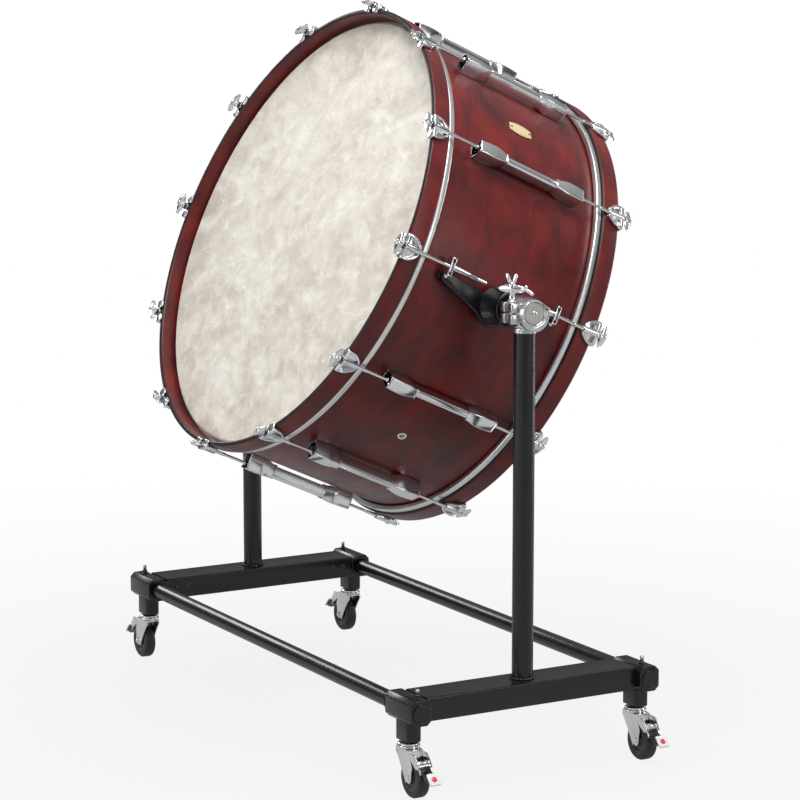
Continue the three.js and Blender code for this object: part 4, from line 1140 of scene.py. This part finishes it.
def fork():
    """The stem, the race's closed rings, the crown, two cheeks and the pins through them."""
    made = Build()
    made.add(pin(5.5, RACE_TOP - 2, RACE_TOP + 30, 20), TO_Z)
    made.add(turned([(0, RACE_TOP), (9.5, RACE_TOP), (10, RACE_TOP - 1.5), (14, RACE_TOP - 2.2),
                     (19, RACE_TOP - 3), (20.4, RACE_TOP - 4.2), (20.4, RACE_TOP - 5.6),
                     (18.6, RACE_TOP - 6.6), (18.6, RACE_TOP - 7.4), (22, RACE_TOP - 8.2),
                     (22.6, RACE_TOP - 10), (22.0, RACE_TOP - 12), (18, RACE_TOP - 13.5),
                     (0, RACE_TOP - 13.5)], 48), TO_Z)
    low = RACE_TOP - 13
    crown = rounded_rectangle(-21, 29, -FORK_INSIDE - 3, FORK_INSIDE + 3, 8, 5)
    made.add(prism(crown, 3), at(0, 0, low - 3), edge=0.9, rounds=3)
    cheek = ([(-20.5, low), (-21.5, low - 9)]
             + [(-21.5 + 40 * t, low - 9 - 59 * t ** 1.15) for t in (0.2, 0.4, 0.6, 0.8, 0.95)]
             + arc(TRAIL, WHEEL_RADIUS, 9, 215, 360, 9)
             + [(TRAIL + 10, WHEEL_RADIUS + 12), (TRAIL + 13, WHEEL_RADIUS + 24),
                (29, low - 4), (28.5, low)])
    for side in (-1, 1):
        y0 = side * (FORK_INSIDE + 1.5)
        made.add(prism(cheek, 2.6), at(0, y0 + 1.3) @ TO_Z, edge=0.7)
        made.add(turned([(0, 0), (7.2, 0), (7.2, 0.9), (6.2, 1.2), (0, 1.2)], 28),
                 at(TRAIL, side * (FORK_INSIDE + 2.6), WHEEL_RADIUS) @ facing(side))
        made.add(turned([(0, 0), (5.4, 0), (5.6, 1.4), (4.6, 3.0), (0, 3.3)], 6 if side > 0 else 28),
                 at(TRAIL, side * (FORK_INSIDE + 3.6), WHEEL_RADIUS) @ facing(side))
        arm = [(28, low - 3), (29, low - 14), (PEDAL_X - 5, PEDAL_Z - 6), (PEDAL_X + 3, PEDAL_Z - 5),
               (PEDAL_X + 5.5, PEDAL_Z), (PEDAL_X + 3, PEDAL_Z + 4.5), (PEDAL_X - 8, low - 4)]
        made.add(prism(arm, 2.2), at(0, y0 + 1.1) @ TO_Z, edge=0.5)
    made.add(pin(2.0, -FORK_INSIDE - 3.6, FORK_INSIDE + 3.6, 14), at(PEDAL_X, 0, PEDAL_Z))
    made.add(pin(4, -FORK_INSIDE - 4, FORK_INSIDE + 4, 20), at(TRAIL, 0, WHEEL_RADIUS))
    return made


def wheel():
    """A tread with rounded shoulders round a dished core, without its bearing."""
    made = Build()
    tread = arc(WHEEL_RADIUS - 6, -WHEEL_HALF + 6, 6, -90, -8, 6) \
        + [(WHEEL_RADIUS, 0)] + arc(WHEEL_RADIUS - 6, WHEEL_HALF - 6, 6, 8, 90, 6)
    made.add(turned([(25, -WHEEL_HALF)] + tread + [(25, WHEEL_HALF), (23.5, WHEEL_HALF - 1.5),
                    (23.5, -WHEEL_HALF + 1.5)], 72, closed=True))
    core = [(4.4, -WHEEL_HALF + 0.3), (9.5, -WHEEL_HALF + 0.3), (10.5, -WHEEL_HALF + 3.2),
            (19, -WHEEL_HALF + 4.2), (21, -WHEEL_HALF + 1.2), (24, -WHEEL_HALF + 1.0)]
    far_half = [(radius, -y) for radius, y in reversed(core)]
    made.add(turned(core + far_half, 56, closed=True), finish=1)
    return made


def pedal():
    """The brake's chrome knuckle, its black arm and its tab with a round mark."""
    made = Build()
    knuckle = pipe(4.8, 2.4, -FORK_INSIDE + 1, FORK_INSIDE - 1, 20, 0.5)
    made.add(knuckle, at(PEDAL_X, 0, PEDAL_Z))
    arm = [(PEDAL_X - 2, PEDAL_Z + 4.4), (PEDAL_X + 4.6, PEDAL_Z + 1.5), (PEDAL_X + 8.5, PEDAL_Z - 6),
           (PEDAL_X + 17, PEDAL_Z - 9.4), (PEDAL_X + 27, PEDAL_Z - 9.6),
           (PEDAL_X + 38, PEDAL_Z - 21), (PEDAL_X + 34, PEDAL_Z - 25.5), (PEDAL_X + 22, PEDAL_Z - 25),
           (PEDAL_X + 9, PEDAL_Z - 15), (PEDAL_X + 1, PEDAL_Z - 3.5)]
    made.add(prism(arm, 19), at(0, 9.5) @ TO_Z, edge=0.9, finish=1)
    tab = rounded_rectangle(0, 25, -11.6, 11.6, 2.6, 4)
    tilt = at(PEDAL_X + 26.4, 0, PEDAL_Z - 8.6) @ Matrix.Rotation(math.radians(46), 4, "Y")
    made.add(prism(tab, 3.4), tilt, edge=0.9, rounds=3, finish=2)
    made.add(turned([(0, 0), (5.6, 0), (5.6, 0.5), (5.0, 0.9), (0, 0.9)], 28),
             tilt @ at(13, 0, 3.3) @ TO_Z, finish=3)
    return made


def casters():
    for corner in CORNERS:
        place = caster_frame(corner)
        fork().piece(f"fork_{corner}", f"caster_fork_{corner}", ["chrome"], place,
                     [f"caster_fork_{corner}"])
        wheel().piece(f"wheel_{corner}", f"caster_wheel_{corner}", ["black_rubber", "wheel_core"],
                      place @ at(TRAIL, 0, WHEEL_RADIUS), [f"caster_wheel_{corner}"])
        pedal().piece(f"pedal_{corner}", f"brake_pedal_{corner}",
                      ["chrome", "black_steel", "white_tab", "red_dot"], place,
                      [f"brake_pedal_{corner}"])
        guard = Build()
        band = (arc(TRAIL, WHEEL_RADIUS, WHEEL_RADIUS + 6.5, 22, 62, 10)
                + arc(TRAIL, WHEEL_RADIUS, WHEEL_RADIUS + 3.5, 62, 22, 10))
        guard.add(prism(band, 25), at(0, 12.5) @ TO_Z, edge=0.7)
        guard.piece(f"guard_{corner}", f"caster_fork_{corner}", ["chrome"], place)


# ---------------------------------------------------------------- studio


FLOOR_HALF = 14.0               # in metres
FLOOR_GREY = (0.3, 0.3, 0.3, 1)


def floor():
    """A grey floor that takes shadows and reads as white to the camera away from the drum."""
    mesh = bpy.data.meshes.new("floor")
    half = FLOOR_HALF
    mesh.from_pydata([(-half, -half, 0), (half, -half, 0), (half, half, 0), (-half, half, 0)],
                     [], [(0, 1, 2, 3)])
    made, g, shader = material("pale_floor", Roughness=0.9, Specular_IOR_Level=0.1)
    shader.inputs["Base Color"].default_value = FLOOR_GREY
    distance = g.node("ShaderNodeVectorMath", {0: g.coordinates("Object")},
                      operation="LENGTH").outputs["Value"]
    path = g.node("ShaderNodeLightPath")
    glow = g.node("ShaderNodeEmission", {"Color": (1, 1, 1, 1), "Strength": 1.0})
    seen = g.math("MULTIPLY", path.outputs["Is Camera Ray"], g.ramp(distance, 0.5, 2.6, 0.86, 1.0))
    mirrored = g.math("MULTIPLY", path.outputs["Is Glossy Ray"], 0.4)
    share = g.math("MAXIMUM", seen, mirrored)
    both = g.node("ShaderNodeMixShader", {0: share})
    g.link(shader.outputs[0], both.inputs[1])
    g.link(glow.outputs[0], both.inputs[2])
    g.link(both.outputs[0], made.node_tree.nodes["Material Output"].inputs["Surface"])
    mesh.materials.append(made)
    placed_object("floor", mesh)


def softbox(name, place, target, width, height, power):
    data = bpy.data.lights.new(name, "AREA")
    data.shape = "RECTANGLE"
    data.size, data.size_y, data.energy = width, height, power
    lamp = placed_object(name, data)
    lamp.location = place
    aim = Vector(target) - Vector(place)
    lamp.rotation_mode = "QUATERNION"
    lamp.rotation_quaternion = aim.to_track_quat("-Z", "Y")


def studio():
    scene = bpy.context.scene
    scene.view_settings.view_transform = "Standard"
    scene.view_settings.look = "None"
    world = bpy.data.worlds.new("studio")
    world.use_nodes = True
    scene.world = world
    g = Graph(world.node_tree)
    back = world.node_tree.nodes["Background"]
    back.inputs["Color"].default_value = (1, 1, 1, 1)
    seen = g.node("ShaderNodeLightPath").outputs["Is Camera Ray"]
    height = g.node("ShaderNodeSeparateXYZ",
                    {0: g.coordinates("Generated")}).outputs[2]
    glow = g.ramp(height, 0.0, 0.8, 0.06, 0.55)
    strength = g.math("MAXIMUM", g.math("MULTIPLY", seen, 1.05), glow)
    g.link(strength, back.inputs["Strength"])
    middle = (0, 0, 0.8)
    softbox("overhead", (1.2, -0.2, 3.6), (0.2, 0, 1.2), 2.2, 2.2, 92)
    softbox("head_fill", (-0.6, -4.6, 1.7), middle, 2.6, 2.6, 64)
    softbox("right_strip", (4.6, 1.8, 1.9), middle, 0.7, 2.6, 27)
    softbox("edge_strip", (0.85, 4.4, 1.1), (0.6, 0, 0.9), 0.5, 2.8, 46)
    softbox("post_strip", (2.1, -4.0, 0.9), (0.6, 0, 0.7), 0.14, 2.6, 7)
    softbox("far_side", (-4.6, -0.6, 2.6), (0, -0.2, 0.2), 1.6, 1.0, 40)
    softbox("camera_side", (4.2, -4.2, 2.6), middle, 1.2, 1.2, 9)
    floor()


CAMERA_PLACE = (4.9611, -2.7682, 1.5539)
CAMERA_AZIMUTH = 60.449
CAMERA_PITCH = 9.075
CAMERA_LENS = 125.06


def camera():
    data = bpy.data.cameras.new("camera")
    data.sensor_width = 36
    data.lens = CAMERA_LENS
    data.clip_end = 100
    made = placed_object("camera", data)
    made.location = CAMERA_PLACE
    made.rotation_euler = (math.radians(90 - CAMERA_PITCH), 0, math.radians(CAMERA_AZIMUTH))
    bpy.context.scene.camera = made


# ---------------------------------------------------------------- assembly

camera()
studio()
shell()
heads()
hoops()
claws()
rods()
lugs()
badge()
brackets()
clamps()
tilt_bolts()
beams()
corners()
casters()
